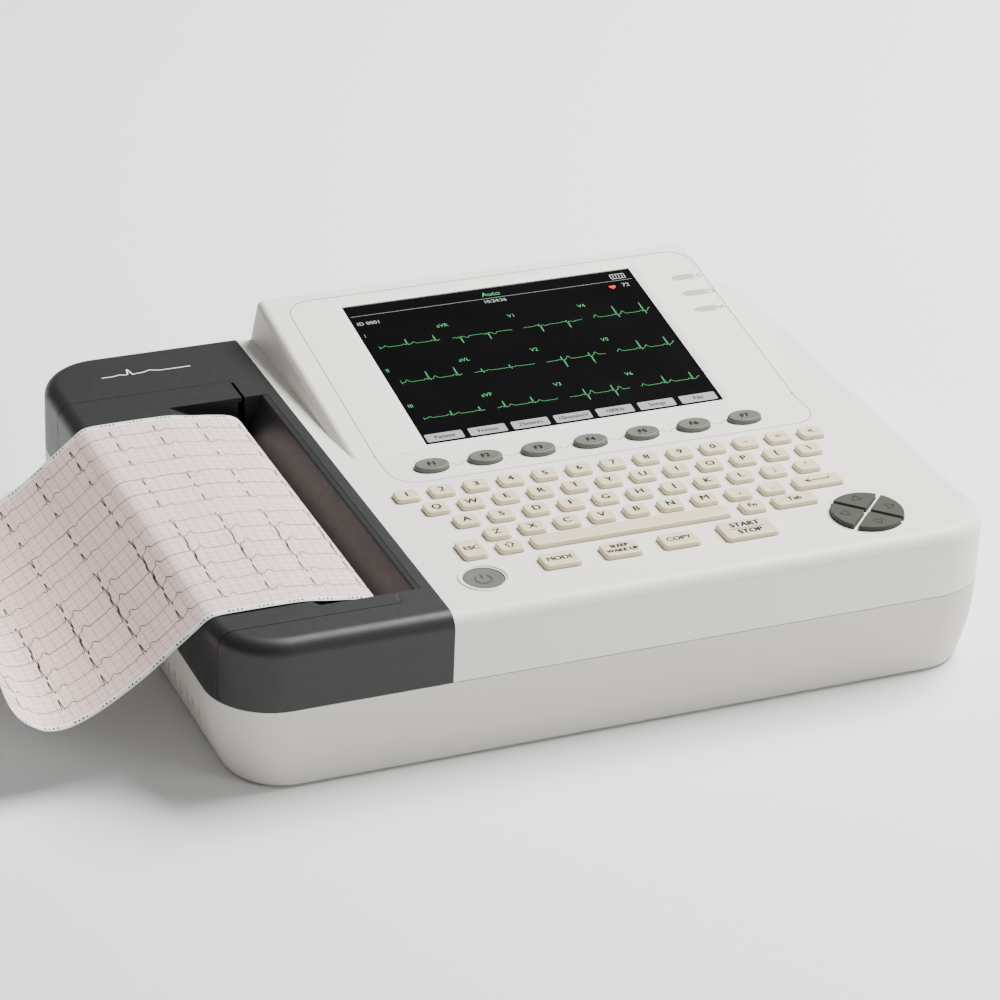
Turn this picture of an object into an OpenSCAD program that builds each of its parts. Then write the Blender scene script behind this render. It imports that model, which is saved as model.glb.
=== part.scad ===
// Desktop twelve-channel electrocardiograph with a built-in A4-width thermal recorder.
// Origin: centre of the case on the bench top. X to the operator's right, Y to the back, Z up.

/* [Case] */
// Width of the case
body_w = 420; // [400:5:480]
// Depth of the case
body_d = 330; // [320:5:380]
// Radius of the case's four corners, seen from above
corner_r = 34; // [24:1:40]
// How far the feet stand out below the case
foot_h = 1.5; // [1:0.5:4]
// Height of the lower case, from its bottom edge to the parting line
base_h = 42.5; // [38:0.5:50]
// Height of the keyboard deck above the parting line
deck_h = 36.5; // [34:0.5:44]
// Wall of the moulded cases
wall = 2.5; // [2:0.1:3.5]
// Rounding of the deck's outer edge
edge_r = 8; // [4:0.5:9]
// How far each side of the lower case draws in at the bottom
side_taper = 8; // [2:0.5:12]
// How far the front and back of the lower case draw in at the bottom
front_taper = 1; // [0:0.5:4]
// Gap left at every seam between covers
seam = 0.4; // [0.3:0.1:0.8]

/* [Display housing] */
// Rise of the display housing above the deck
hump_h = 26; // [20:1:30]
// Depth of the sloping display face, measured on the level
hump_d = 153; // [150:1:156]
// Width of the display housing
hump_w = 262.5; // [240:0.5:266]
// Width of the visible screen
screen_w = 173; // [160:1:180]
// Height of the visible screen, measured up the slope
screen_h = 131; // [120:1:134]
// Thickness of the display module
lcd_t = 8; // [6:0.5:10]

/* [Recorder] */
// Width of the dark recorder cover, from the left side of the case
recorder_w = 116.5; // [112:0.5:124]
// How far the recorder cover stands above the deck
recorder_proud = 1; // [0.5:0.5:3]
// Length of the sliding paper door, front to back
door_l = 255; // [245:1:265]
// Width of the rail to the right of the paper slot
rail_w = 10; // [8:0.5:14]
// Width of the paper slot between the door and the rail
slot_w = 10.5; // [9:0.5:14]
// Width of the chart paper
paper_w = 210; // [200:1:216]
// Thickness of the chart paper as modelled
paper_t = 0.4; // [0.3:0.05:0.6]
// Depth of the ramp where the paper comes out
ramp_h = 19; // [14:1:22]
// Width of the ramp
ramp_w = 41; // [30:1:50]
// Radius of the rubber platen roller
platen_r = 7.5; // [6:0.25:8]
// Radius of the platen's steel shaft
shaft_r = 2.5; // [2:0.25:3]
// Radial clearance of the shafts in their bushes
shaft_gap = 0.05; // [0.03:0.01:0.08]
// Radius of the chart roll
roll_r = 19; // [12:0.5:19]
// Gear module
gear_m = 1; // [0.9:0.05:1]
// Teeth on the platen gear
platen_teeth = 18; // [16:1:18]
// Teeth on the idler gear
idler_teeth = 16; // [14:1:16]
// Teeth on the motor pinion
pinion_teeth = 12; // [10:1:12]

/* [Keys] */
// Distance between letter keys, left to right
key_pitch_x = 19.2; // [18:0.1:19.2]
// Distance between rows of keys
key_pitch_y = 17; // [15:0.1:17]
// Width of a letter key
key_w = 13; // [11:0.5:14]
// Depth of a letter key
key_d = 10.5; // [9:0.5:12]
// Height of a key above the deck
key_rise = 2.6; // [2:0.1:3.5]
// Gap round each key in the deck
key_gap = 0.35; // [0.3:0.05:0.6]
// How far a key travels
key_travel = 1.2; // [0.8:0.1:1.4]
// Width of a softkey below the screen
soft_key_w = 19; // [16:0.5:21]
// Depth of a softkey below the screen
soft_key_d = 13; // [11:0.5:14]
// Radius of the power button
power_r = 10.4; // [9:0.2:12]
// Radius of the four cursor keys together
cursor_r = 19; // [16:0.5:20]
// Gap between the cursor keys
cursor_gap = 2.4; // [2:0.1:4]

/* [Hidden] */
$fn = 96;

// Levels
case_z = foot_h;
part_z = case_z + base_h;
deck_z = part_z + deck_h;
hump_z = deck_z + hump_h;
rec_z = deck_z + recorder_proud;
floor_z = case_z + wall;
inner_deck_z = deck_z - wall;
inner_rec_z = rec_z - wall;
slice = 0.01;

// Plan of the case
left_x = -body_w / 2;
right_x = body_w / 2;
front_y = -body_d / 2;
back_y = body_d / 2;
rec_right = left_x + recorder_w;

// Display housing
hump_left = rec_right + 8.5;
hump_right = hump_left + hump_w;
hump_back = back_y - 9;
hump_front = hump_back - hump_d;
tilt = atan(hump_h / hump_d);
screen_x = hump_left + hump_w / 2 + 1;
screen_slope = 73;
bezel = 4;
bezel_drop = 1.8;
window_t = 1.2;

// Keyboard
row1_x = rec_right + 22;
row1_y = hump_front - 46;
soft_y = hump_front - 18;
soft_x = rec_right + 47;
soft_pitch = 30;
cap_top = deck_z + key_rise;
cap_bottom = inner_deck_z - 2;
flange_t = 1.4;
flange_out = 0.9;
mat_top = cap_bottom - key_travel - 0.3;
mat_t = 1.2;
board_t = 1.6;
row_names = ["number", "top", "home", "low"];
row_counts = [13, 12, 11, 9];
low_row_y = row1_y - 4 * key_pitch_y + 2;
command_y = low_row_y - 20.5;
wide_key_w = 20;
start_w = 29;
start_d = 17;
start_x = row1_x + 151;
cursor_x = row1_x + 218;
cursor_y = command_y - 3;
power_x = row1_x + 6;
power_y = command_y - 3;

// Recorder
web_gap = 0.05;
door_right = rec_right - rail_w - slot_w;
door_front = front_y + 21;
door_back = door_front + door_l;
slot_front = door_front + 10;
slot_back = door_back - 20.5;
paper_front = slot_front + 5;
paper_back = paper_front + paper_w;
ramp_end_z = rec_z - ramp_h;
platen_z = ramp_end_z - platen_r - 0.6;
paper_x = door_right - 1.2;
platen_x = paper_x - paper_t / 2 - platen_r - web_gap;
platen_front = paper_front - 2;
platen_back = paper_back + 2;
head_x = paper_x + paper_t / 2 + web_gap;
ear_w = 13;
ear_t = 5;
front_ear_y = slot_front - wall - ear_t;
back_ear_y = slot_back + wall;
lip_t = 1.2;
rail_left = rec_right - rail_w;
chute_z = ramp_end_z - 1;
chute_x = door_right + 2.6;
head_t = 1;
sink_t = 4;
spring_l = 4.5;
tray_t = 1.5;
roll_x = left_x + 42;
roll_z = floor_z + tray_t + 1 + roll_r;
core_r = 8;
core_hole_r = 6;
tray_w = 2 * roll_r + 14;

// Gears, in a plane behind the platen
gear_t = 5;
gear_y = back_ear_y + ear_t + 3;
backlash = 0.06;
platen_pitch = gear_m * platen_teeth / 2;
idler_pitch = gear_m * idler_teeth / 2;
pinion_pitch = gear_m * pinion_teeth / 2;
pinion_angle = -115;
idler_reach = platen_pitch + idler_pitch + backlash;
idler_room = 2.056;
idler_x = rec_right - wall - idler_room - idler_pitch;
mesh_angle = -acos((idler_x - platen_x) / idler_reach);
idler_z = platen_z + idler_reach * sin(mesh_angle);
pinion_reach = idler_pitch + pinion_pitch + backlash;
pinion_x = idler_x + pinion_reach * cos(pinion_angle);
pinion_z = idler_z + pinion_reach * sin(pinion_angle);
plate_y = gear_y + gear_t + 1;
plate_t = 2;
axle_r = 2;
motor_w = 24;
motor_l = 26;
motor_bore = 1.5 + shaft_gap;

// ---------- shared shapes ----------

// A rectangle with round corners, centred on the origin.
module round_rect(w, d, r) {
  hull() for (x = [-1, 1], y = [-1, 1])
    translate([x * (w / 2 - r), y * (d / 2 - r)]) circle(r, $fn = 48);
}

// A slab of the case's plan, drawn in on its sides by ix and on its front and back by iy.
module level(z, ix, iy, h = slice) {
  translate([0, 0, z])
    linear_extrude(h) round_rect(body_w - 2 * ix, body_d - 2 * iy, corner_r - (ix + iy) / 2);
}

// The case's upper body between two heights, drawn in all round, with its top edge rounded.
module upper_body(z0, z1, inset, round) {
  steps = 6;
  r = corner_r - inset;
  profile = concat([[0, z0], [r, z0]],
    [for (i = [0:steps]) [r - round * (1 - cos(90 * i / steps)), z1 - round + round * sin(90 * i / steps)]],
    [[0, z1]]);
  hull() for (x = [-1, 1], y = [-1, 1])
    translate([x * (body_w / 2 - corner_r), y * (body_d / 2 - corner_r), 0])
      rotate_extrude($fn = 48) polygon(profile);
}

// The case's lower body, which draws in towards the bottom, made smaller by inset.
module lower_body(z0, z1, inset) {
  curve = [[0, 1.25], [2, 1.02], [10, 0.62], [20, 0.25], [30, 0.04]];
  full = base_h - 6;
  hull() {
    for (c = curve)
      level(z0 + c[0], inset + side_taper * c[1], inset + front_taper * c[1]);
    level(z0 + full, inset, inset, z1 - z0 - full);
  }
}

// A rectangle with cut corners, as a plain prism.
module cut_corner_prism(w, d, h, c) {
  linear_extrude(h) polygon([
    [-w / 2 + c, -d / 2], [w / 2 - c, -d / 2], [w / 2, -d / 2 + c], [w / 2, d / 2 - c],
    [w / 2 - c, d / 2], [-w / 2 + c, d / 2], [-w / 2, d / 2 - c], [-w / 2, -d / 2 + c]
  ]);
}

// Places its children on the sloping display face: X across, Y up the slope, Z out of the face.
module on_face(x, slope, z = 0) {
  translate([x, hump_front, deck_z]) rotate([tilt, 0, 0]) translate([0, slope, z]) children();
}

module box(x0, x1, y0, y1, z0, z1) {
  translate([x0, y0, z0]) cube([x1 - x0, y1 - y0, z1 - z0]);
}

// A bar along Y.
module rod(x, z, y0, y1, r) {
  translate([x, y0, z]) rotate([-90, 0, 0]) cylinder(r = r, h = y1 - y0);
}

// ---------- keys ----------

function row_x(row, i) = row1_x + (i + row / 2) * key_pitch_x;
function row_y(row) = row1_y - row * key_pitch_y;

// A key cap with the flange that keeps it under the deck.
module cap(x, y, w, d) {
  translate([x, y, cap_bottom]) {
    cut_corner_prism(w, d, cap_top - cap_bottom, 1.6);
    cut_corner_prism(w + 2 * flange_out, d + 2 * flange_out, flange_t, 1.6);
  }
}

module cap_hole(x, y, w, d) {
  translate([x, y, inner_deck_z - 1])
    cut_corner_prism(w + 2 * key_gap, d + 2 * key_gap, wall + 2, 1.6 + key_gap / 2);
}

module letter_row(row) {
  for (i = [0:row_counts[row] - 1]) cap(row_x(row, i), row_y(row), key_w, key_d);
}

// Every single key: centre X, centre Y, width and depth.
space = [row1_x + 96, low_row_y, 5 * key_pitch_x + key_w, key_d];
escape = [row1_x + 10, low_row_y + 3, key_w, 17];
shift = [row1_x + 29.5, low_row_y, key_w, key_d];
enter = [row_x(3, 9) + 7.2, row_y(3), 27, key_d];
tab = [row1_x + 188, low_row_y, 24, key_d];
func = [row1_x + 164, low_row_y, key_w, key_d];
mode = [row1_x + 48, command_y, wide_key_w, 13];
sleep = [row1_x + 81, command_y, wide_key_w, 13];
copy = [row1_x + 113, command_y, wide_key_w, 13];
start = [start_x, command_y - 0.5, start_w, start_d];
single_keys = [space, escape, shift, enter, tab, func, mode, sleep, copy, start];

module single(k) { cap(k[0], k[1], k[2], k[3]); }

module oval(x, y, w, d, z0, z1) {
  translate([x, y, z0]) linear_extrude(z1 - z0) scale([w / 2, d / 2]) circle(1, $fn = 32);
}

module soft_keys() {
  color("gray") for (i = [0:6]) {
    oval(soft_x + i * soft_pitch, soft_y, soft_key_w, soft_key_d, cap_bottom, cap_top);
    oval(soft_x + i * soft_pitch, soft_y, soft_key_w + 2 * flange_out, soft_key_d + 2 * flange_out,
      cap_bottom, cap_bottom + flange_t);
  }
}

// A quarter of a disc, with its straight sides half a gap from the diagonals.
module quarter(r, gap, turn) {
  side = gap / 2 * sqrt(2);
  rotate(turn) intersection() {
    circle(r, $fn = 48);
    polygon([[0, side], [r, r + side], [-r, r + side]]);
  }
}

module cursor_key(turn) {
  color("dimgray") translate([cursor_x, cursor_y, cap_bottom]) {
    linear_extrude(cap_top - cap_bottom) quarter(cursor_r, cursor_gap, turn);
    linear_extrude(flange_t) quarter(cursor_r + flange_out, cursor_gap - 2 * flange_out, turn);
  }
}

module power_button() {
  color("gray") {
    translate([power_x, power_y, cap_bottom]) cylinder(r = power_r, h = deck_z - 0.3 - cap_bottom);
    translate([power_x, power_y, cap_bottom]) cylinder(r = power_r + flange_out, h = flange_t);
  }
}

// ---------- cases ----------

module hump(inset) {
  r = 4;
  drop = r + inset;
  hull() {
    for (x = [hump_left + drop + 1.5, hump_right - drop - 1.5]) {
      on_face(x, hump_d / cos(tilt) - r - inset, -drop) sphere(r, $fn = 32);
      on_face(x, drop, -drop) sphere(r, $fn = 32);
    }
    box(hump_left + inset, hump_right - inset, hump_front + inset, back_y - 4 - inset,
      deck_z - 6 - inset, deck_z - 5);
  }
}

module key_holes() {
  for (r = [0:3], i = [0:row_counts[r] - 1]) cap_hole(row_x(r, i), row_y(r), key_w, key_d);
  for (k = single_keys) cap_hole(k[0], k[1], k[2], k[3]);
  for (i = [0:6]) oval(soft_x + i * soft_pitch, soft_y, soft_key_w + 2 * key_gap,
    soft_key_d + 2 * key_gap, inner_deck_z - 1, deck_z + 1);
  translate([cursor_x, cursor_y, inner_deck_z - 1]) linear_extrude(wall + 2)
    for (t = [0, 90, 180, 270]) quarter(cursor_r + key_gap, cursor_gap - 2 * key_gap, t);
  translate([power_x, power_y, inner_deck_z - 1])
    cylinder(r = power_r + key_gap, h = wall + 2, $fn = 48);
}

// The screen's opening: a sloping bezel round a straight window.
module screen_opening() {
  out = 2 * bezel;
  on_face(screen_x, screen_slope, -12) linear_extrude(20) square([screen_w, screen_h], center = true);
  on_face(screen_x, screen_slope, 0) hull() {
    translate([0, 0, -bezel_drop])
      linear_extrude(slice) square([screen_w + 1, screen_h + 1], center = true);
    linear_extrude(slice) square([screen_w + out, screen_h + out], center = true);
    translate([0, 0, 3])
      linear_extrude(slice) square([screen_w + out + 3, screen_h + out + 3], center = true);
  }
}

light_slopes = [88, 104, 120];
light_x = hump_right - 18.5;
module light_shape(grow, z0, z1) {
  for (s = light_slopes) on_face(light_x, s, z0) linear_extrude(z1 - z0) offset(delta = grow)
    union() {
      translate([-2, -2.3]) square([8.5, 4.6]);
      translate([-2, 0]) scale([4.5, 2.3]) circle(1, $fn = 32);
    }
}

boss_front = front_y + 8.5;
boss_back = back_y - 6;
boss_right = right_x - 20;
boss_at = [[-70, boss_front], [95, boss_front], [boss_right, -118], [boss_right, 118], [60, boss_back],
  [-70, boss_back]];
boss_r = 4;
screw_r = 1.5;
boss_hole_r = 1.8;
head_r = 3;

module top_shell() {
  color("whitesmoke") difference() {
    union() {
      difference() {
        intersection() {
          upper_body(part_z + seam, deck_z, 0, edge_r);
          box(rec_right + seam / 2, right_x + 1, front_y - 1, back_y + 1, 0, hump_z + 10);
        }
        intersection() {
          upper_body(part_z - 1, inner_deck_z, wall, edge_r - wall);
          box(rec_right + seam / 2 + wall, right_x, front_y, back_y, 0, hump_z);
        }
        // The opening in the deck under the display housing
        box(hump_left + 2 * wall, hump_right - 2 * wall, hump_front + wall / 2, boss_back - boss_r - 1,
          part_z - 1, deck_z + 1);
      }
      difference() {
        hump(0);
        hump(wall);
      }
      for (b = boss_at) translate([b[0], b[1], part_z + seam + 0.3])
        cylinder(r = boss_r, h = inner_deck_z - part_z - 0.3, $fn = 24);
      for (p = post_at) translate([p[0], p[1], mat_top])
        cylinder(r = 3, h = inner_deck_z - mat_top + seam, $fn = 24);
    }
    for (b = boss_at) translate([b[0], b[1], part_z - 1])
      cylinder(r = boss_hole_r, h = 15, $fn = 24);
    key_holes();
    screen_opening();
    light_shape(key_gap / 2, -wall - 2, 3);
  }
}

// Rear and side sockets: the openings they stand in.
inlet_x = 150;
inlet_z = case_z + 24;
ground_x = 105;
port_z = case_z + 24;
net_x = 40;
usb_x = 5;
patient_y = -60;
patient_z = case_z + 24;

module rear_panel_cuts() {
  box(inlet_x - 14, inlet_x + 14, back_y - 12, back_y + 5, inlet_z - 12, inlet_z + 12);
  translate([ground_x, back_y + 5, port_z]) rotate([90, 0, 0]) cylinder(r = 3.2, h = 15, $fn = 24);
  box(net_x - 8.3, net_x + 8.3, back_y - 12, back_y + 5, port_z - 7, port_z + 7);
  box(usb_x - 7.3, usb_x + 7.3, back_y - 12, back_y + 5, port_z - 8.5, port_z + 8.5);
}

module side_socket_cut() {
  box(right_x - 16, right_x + 5, patient_y - 24.3, patient_y + 24.3, patient_z - 10.3, patient_z + 10.3);
}

battery = [-20, 60, 96, 66];

module base_shell() {
  vents = 11;
  color("gainsboro") difference() {
    union() {
      difference() {
        lower_body(case_z, part_z, 0);
        lower_body(floor_z, part_z + 1, wall);
      }
      for (b = boss_at) translate([b[0], b[1], case_z + 1])
        cylinder(r = boss_r, h = part_z - case_z - 1, $fn = 24);
    }
    for (b = boss_at) translate([b[0], b[1], case_z - 1]) {
      cylinder(r = boss_hole_r, h = base_h + 2, $fn = 24);
      cylinder(r = head_r + 0.4, h = 6, $fn = 24);
    }
    for (f = foot_at) translate([f[0], f[1], case_z - 1])
      cylinder(r = foot_r + 0.3, h = 1 + foot_sink, $fn = 32);
    for (i = [0:vents - 1]) translate([left_x, front_y + 46 + i * 9.5, case_z + 20])
      rotate([28, 0, 0]) cube([30, 2, 14], center = true);
    box(battery[0] - battery[2] / 2 - seam, battery[0] + battery[2] / 2 + seam,
      battery[1] - battery[3] / 2 - seam, battery[1] + battery[3] / 2 + seam,
      case_z - 1, floor_z + 1);
    rear_panel_cuts();
    side_socket_cut();
  }
}

foot_r = 8;
foot_sink = 1.2;
foot_at = [[-165, -125], [165, -125], [165, 125], [-165, 125], [0, 0]];
module rubber_feet() {
  color("dimgray") for (f = foot_at) translate([f[0], f[1], 0])
    cylinder(r = foot_r, h = foot_h + foot_sink);
}

module case_screws() {
  color("silver") for (b = boss_at) translate([b[0], b[1], case_z + 2]) {
    cylinder(r = head_r, h = 2.9);
    cylinder(r = screw_r, h = base_h + 6);
  }
}

module recorder_body(inset) {
  upper_body(part_z + (inset == 0 ? seam : -1), rec_z - inset, inset, edge_r - inset);
}

// The space kept for the door: everything between its two seams and left of its end.
module door_space(gap) {
  box(left_x - 5, door_right + gap, door_front - gap, door_back + gap, part_z - 5, rec_z + 5);
}

// The rail beside the slot, with the sloping wall that guides the paper up.
module rail() {
  translate([0, slot_back + 0.2, 0]) rotate([90, 0, 0]) linear_extrude(slot_back - slot_front + 0.4)
    polygon([
      [rec_right - 1, rec_z - 0.1], [rail_left + 5, rec_z - 0.1], [rail_left + 1.3, rec_z - 0.5],
      [rail_left + 0.3, rec_z - 1.6], [rail_left, rec_z - 3], [chute_x, chute_z + 1.5],
      [chute_x, chute_z], [rec_right - 1, chute_z]
    ]);
}

module recorder_cover() {
  color("darkslategray") {
    difference() {
      intersection() {
        recorder_body(0);
        box(left_x - 1, rec_right - seam / 2, front_y - 1, back_y + 1, 0, rec_z + 1);
      }
      intersection() {
        recorder_body(wall);
        box(left_x, rec_right - seam / 2 - wall, front_y, back_y, 0, rec_z);
      }
      door_space(seam);
      box(door_right - 1, rail_left + 4, slot_front, slot_back, inner_rec_z - 1, rec_z + 1);
      box(door_right - 1, door_right + 1.6, slot_back - 1, door_back - 2, inner_rec_z - 1, rec_z + 1);
      box(door_right - 1, door_right + 1.6, door_front + 1, slot_front + 1, inner_rec_z - 1, rec_z + 1);
    }
    rail();
    for (y = [slot_front - wall, slot_back])
      box(door_right + 1.8, rail_left + 1, y, y + wall, chute_z, inner_rec_z + 0.5);
  }
}

module paper_door() {
  color("slategray") difference() {
    union() {
      difference() {
        intersection() {
          recorder_body(0);
          door_space(0);
        }
        intersection() {
          recorder_body(wall);
          door_space(5);
        }
      }
      // The ramp
      hull() {
        box(door_right - ramp_w - wall, door_right - ramp_w, slot_front - wall, slot_back + wall,
          inner_rec_z, rec_z - 0.5);
        box(door_right - 4, door_right - 1.9, slot_front - wall, slot_back + wall,
          ramp_end_z - lip_t, rec_z - 0.5);
      }
      for (y = [front_ear_y, back_ear_y])
        box(platen_x - ear_w / 2, platen_x + ear_w / 2, y, y + ear_t, platen_z - 6.5, inner_rec_z + 1);
    }
    hull() {
      box(door_right - ramp_w, door_right - ramp_w + 0.1, slot_front, slot_back, rec_z - 0.05, rec_z + 1);
      box(door_right - 1.9, door_right + 1, slot_front, slot_back, ramp_end_z, rec_z + 1);
    }
    for (y = [front_ear_y, back_ear_y])
      box(platen_x - bush_w / 2, platen_x + bush_w / 2, y - 1, y + ear_t + 1,
        platen_z - 8, platen_z + bush_w / 2);
  }
}

// ---------- electronics ----------

module lcd_panel() {
  color("dimgray") on_face(screen_x, screen_slope, -wall - 0.2 - lcd_t - window_t) {
    linear_extrude(lcd_t) square([screen_w + 10, screen_h + 6], center = true);
  }
}

module screen_window() {
  color("black") on_face(screen_x, screen_slope, -wall - 0.1 - window_t)
    linear_extrude(window_t) square([screen_w + 6, screen_h + 2], center = true);
}

module status_lights() {
  color("lightgray") light_shape(0, -wall, 0);
}

key_area = [hump_left - 1, hump_right - 4, front_y + 13, hump_front - 2];
post_at = [for (x = [key_area[0] + 4, key_area[1] - 4], y = [key_area[2] + 4, -75, key_area[3] - 4]) [x, y]];
module key_mat() {
  color("beige")
    box(key_area[0], key_area[1], key_area[2], key_area[3], mat_top - mat_t, mat_top);
}

module key_board() {
  color("darkgreen") box(key_area[0], key_area[1], key_area[2], key_area[3],
    mat_top - mat_t - board_t, mat_top - mat_t);
}

main_z = floor_z + 12;
main_area = [-60, 150, front_y + 25, 0];
module main_board() {
  color("darkgreen") {
    box(main_area[0], main_area[1], main_area[2], main_area[3], main_z, main_z + board_t);
    box(-20, 20, -100, -60, main_z + board_t, main_z + board_t + 3);
    box(50, 75, -90, -65, main_z + board_t, main_z + board_t + 2.5);
    box(95, 140, -50, -20, main_z + board_t, main_z + board_t + 9);
  }
}

module board_standoffs() {
  color("gold") for (x = [main_area[0] + 6, main_area[1] - 6], y = [main_area[2] + 6, main_area[3] - 6])
    translate([x, y, floor_z]) cylinder(r = 3, h = main_z - floor_z);
}

module power_supply() {
  color("silver") box(75, 180, 20, back_y - 52, floor_z, floor_z + 34);
}

module battery_pack() {
  color("royalblue") box(battery[0] - battery[2] / 2 + 3, battery[0] + battery[2] / 2 - 3,
    battery[1] - battery[3] / 2 + 3, battery[1] + battery[3] / 2 - 3, floor_z, floor_z + 22);
}

module battery_cover() {
  color("gainsboro") box(battery[0] - battery[2] / 2, battery[0] + battery[2] / 2,
    battery[1] - battery[3] / 2, battery[1] + battery[3] / 2, case_z, floor_z);
}

inlet_face = back_y + 0.5;
inlet_depth = 17;
module mains_inlet() {
  color("black") difference() {
    union() {
      box(inlet_x - 13.8, inlet_x + 13.8, inlet_face - 22, inlet_face - 1.5, inlet_z - 11.8, inlet_z + 11.8);
      box(inlet_x - 15.5, inlet_x + 15.5, inlet_face - 0.4, inlet_face + 1.2, inlet_z - 13.5, inlet_z + 13.5);
      box(inlet_x - 13.8, inlet_x + 13.8, inlet_face - 2, inlet_face, inlet_z - 11.8, inlet_z + 11.8);
    }
    box(inlet_x - 12, inlet_x + 12, inlet_face + 1.2 - inlet_depth, inlet_face + 2, inlet_z - 8, inlet_z + 8);
  }
}

module inlet_pins() {
  pin_l = 9;
  color("silver") for (p = [[-7, -2], [0, 2], [7, -2]])
    box(inlet_x + p[0] - 1, inlet_x + p[0] + 1, inlet_face + 1.2 - inlet_depth,
      inlet_face + 1.2 - inlet_depth + pin_l, inlet_z + p[1] - 2, inlet_z + p[1] + 2);
}

module ground_stud() {
  color("gold") {
    rod(ground_x, port_z, back_y - 8, back_y + 7, 3);
    rod(ground_x, port_z, back_y + 0.2, back_y + 1.6, 5.5);
  }
}

module network_port() {
  color("silver") difference() {
    box(net_x - 8, net_x + 8, back_y - 18, back_y + 0.3, port_z - 6.7, port_z + 6.7);
    box(net_x - 6, net_x + 6, back_y - 13, back_y + 1, port_z - 4, port_z + 3.5);
    box(net_x - 3, net_x + 3, back_y - 13, back_y + 1, port_z + 3, port_z + 5.5);
  }
}

module usb_ports() {
  color("silver") difference() {
    box(usb_x - 7, usb_x + 7, back_y - 15, back_y + 0.3, port_z - 8.2, port_z + 8.2);
    for (z = [-4.2, 4.2]) difference() {
      box(usb_x - 6.2, usb_x + 6.2, back_y - 11, back_y + 1, port_z + z - 2.4, port_z + z + 2.4);
      box(usb_x - 5.6, usb_x + 5.6, back_y - 12, back_y - 1, port_z + z - 0.2, port_z + z + 1.6);
    }
  }
}

// The patient lead's socket: a fifteen-pin shell between two hex posts.
patient_face = right_x - 0.3;
plate_x = right_x - 3.4;
module patient_socket() {
  color("silver") {
    box(plate_x - 1.6, plate_x, patient_y - 24, patient_y + 24, patient_z - 10, patient_z + 10);
    box(plate_x - 10, plate_x - 1.6, patient_y - 13, patient_y + 13, patient_z - 5, patient_z + 5);
    difference() {
      box(plate_x, patient_face, patient_y - 14, patient_y + 14, patient_z - 5.5, patient_z + 5.5);
      box(plate_x + 0.5, patient_face + 1, patient_y - 13, patient_y + 13, patient_z - 4.5, patient_z + 4.5);
    }
    for (row = [[3.5, 1.5], [3, -1.5]], i = [-row[0]:row[0]])
      translate([plate_x, patient_y + i * 2.8, patient_z + row[1]])
        rotate([0, 90, 0]) cylinder(r = 0.5, h = 2.6, $fn = 24);
    for (s = [-1, 1]) translate([plate_x, patient_y + s * 18.5, patient_z])
      rotate([0, 90, 0]) cylinder(r = 2.7, h = 3, $fn = 6);
  }
}

// ---------- recorder ----------

module paper_tray() {
  lip = 12;
  end_t = 3;
  fork_r = core_hole_r - 0.08;
  color("gray") {
    difference() {
      box(roll_x - tray_w / 2, roll_x + tray_w / 2, paper_front - 2 - end_t, paper_back + 2 + end_t,
        floor_z, floor_z + lip);
      box(roll_x - tray_w / 2 + tray_t, roll_x + tray_w / 2 + 1, paper_front - 2, paper_back + 2,
        floor_z + tray_t, floor_z + lip + 1);
    }
    for (y = [paper_front - 2 - end_t, paper_back + 2])
      box(roll_x - 6, roll_x + 6, y, y + end_t, floor_z + lip, roll_z + fork_r);
    rod(roll_x, roll_z, paper_front - 2 - end_t, paper_front + 6, fork_r);
    rod(roll_x, roll_z, paper_back - 6, paper_back + 2 + end_t, fork_r);
  }
}

module chart_roll() {
  color("mistyrose") difference() {
    rod(roll_x, roll_z, paper_front, paper_back, roll_r);
    rod(roll_x, roll_z, paper_front - 1, paper_back + 1, core_r);
  }
}

module roll_core() {
  color("tan") difference() {
    rod(roll_x, roll_z, paper_front, paper_back, core_r);
    rod(roll_x, roll_z, paper_front - 1, paper_back + 1, core_hole_r);
  }
}

// The paper leaves the bottom right of the roll on the line that touches both roll and platen.
web_run = [platen_x - roll_x, platen_z - roll_z];
web_angle = atan2(web_run[1], web_run[0]) - acos((roll_r - platen_r) / norm(web_run));

// Points of a strip along a centre line given as [x, z], half the paper's thickness each side.
function along(p, i) = p[min(i + 1, len(p) - 1)] - p[max(i - 1, 0)];
function side_step(v) = [-v[1], v[0]] / norm(v) * paper_t / 2;
function strip(p) = concat(
  [for (i = [0:len(p) - 1]) p[i] + side_step(along(p, i))],
  [for (i = [len(p) - 1:-1:0]) p[i] - side_step(along(p, i))]);

module paper_strip(p) {
  translate([0, paper_back, 0]) rotate([90, 0, 0]) linear_extrude(paper_w) polygon(strip(p));
}

web_points = let (out = paper_t / 2 + web_gap) concat(
  [[roll_x, roll_z] + (roll_r + out) * [cos(web_angle), sin(web_angle)]],
  [for (a = [web_angle:6:-12]) [platen_x, platen_z] + (platen_r + out) * [cos(a), sin(a)]],
  [[platen_x + platen_r + out, platen_z - 1.2]]);
module paper_web() {
  color("mistyrose") paper_strip(web_points);
}

// The chart's centre line past the slot: up over the ramp, across the door, then down in a wave.
// Each point is [distance to the left of the slot, height above the recorder's top].
chart_curve = [
  [0, 2 - ramp_h], [0.9, 6.4 - ramp_h], [3, 10 - ramp_h], [6, 12.8 - ramp_h], [10.8, -4.2],
  [20, -2.6], [30, -1.3], [42, 0.5], [55, 0.9], [75, 0.9], [86.8, 0.6], [91.8, -0.9],
  [96.8, -4.9], [103, -10], [111, -16.5], [121.8, -25.5], [133.8, -34], [144.8, -40.8],
  [154.8, -45.7], [164, -48.3], [173, -47.7], [181, -43.3], [186.6, -38], [190.9, -31],
  [194, -23], [196, -15]
];
function smooth(p, i, t) = let (
    a = p[max(i - 1, 0)], b = p[i], c = p[i + 1], d = p[min(i + 2, len(p) - 1)])
  0.5 * ((2 * b) + (c - a) * t + (2 * a - 5 * b + 4 * c - d) * t * t
    + (3 * b - a - 3 * c + d) * t * t * t);
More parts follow.
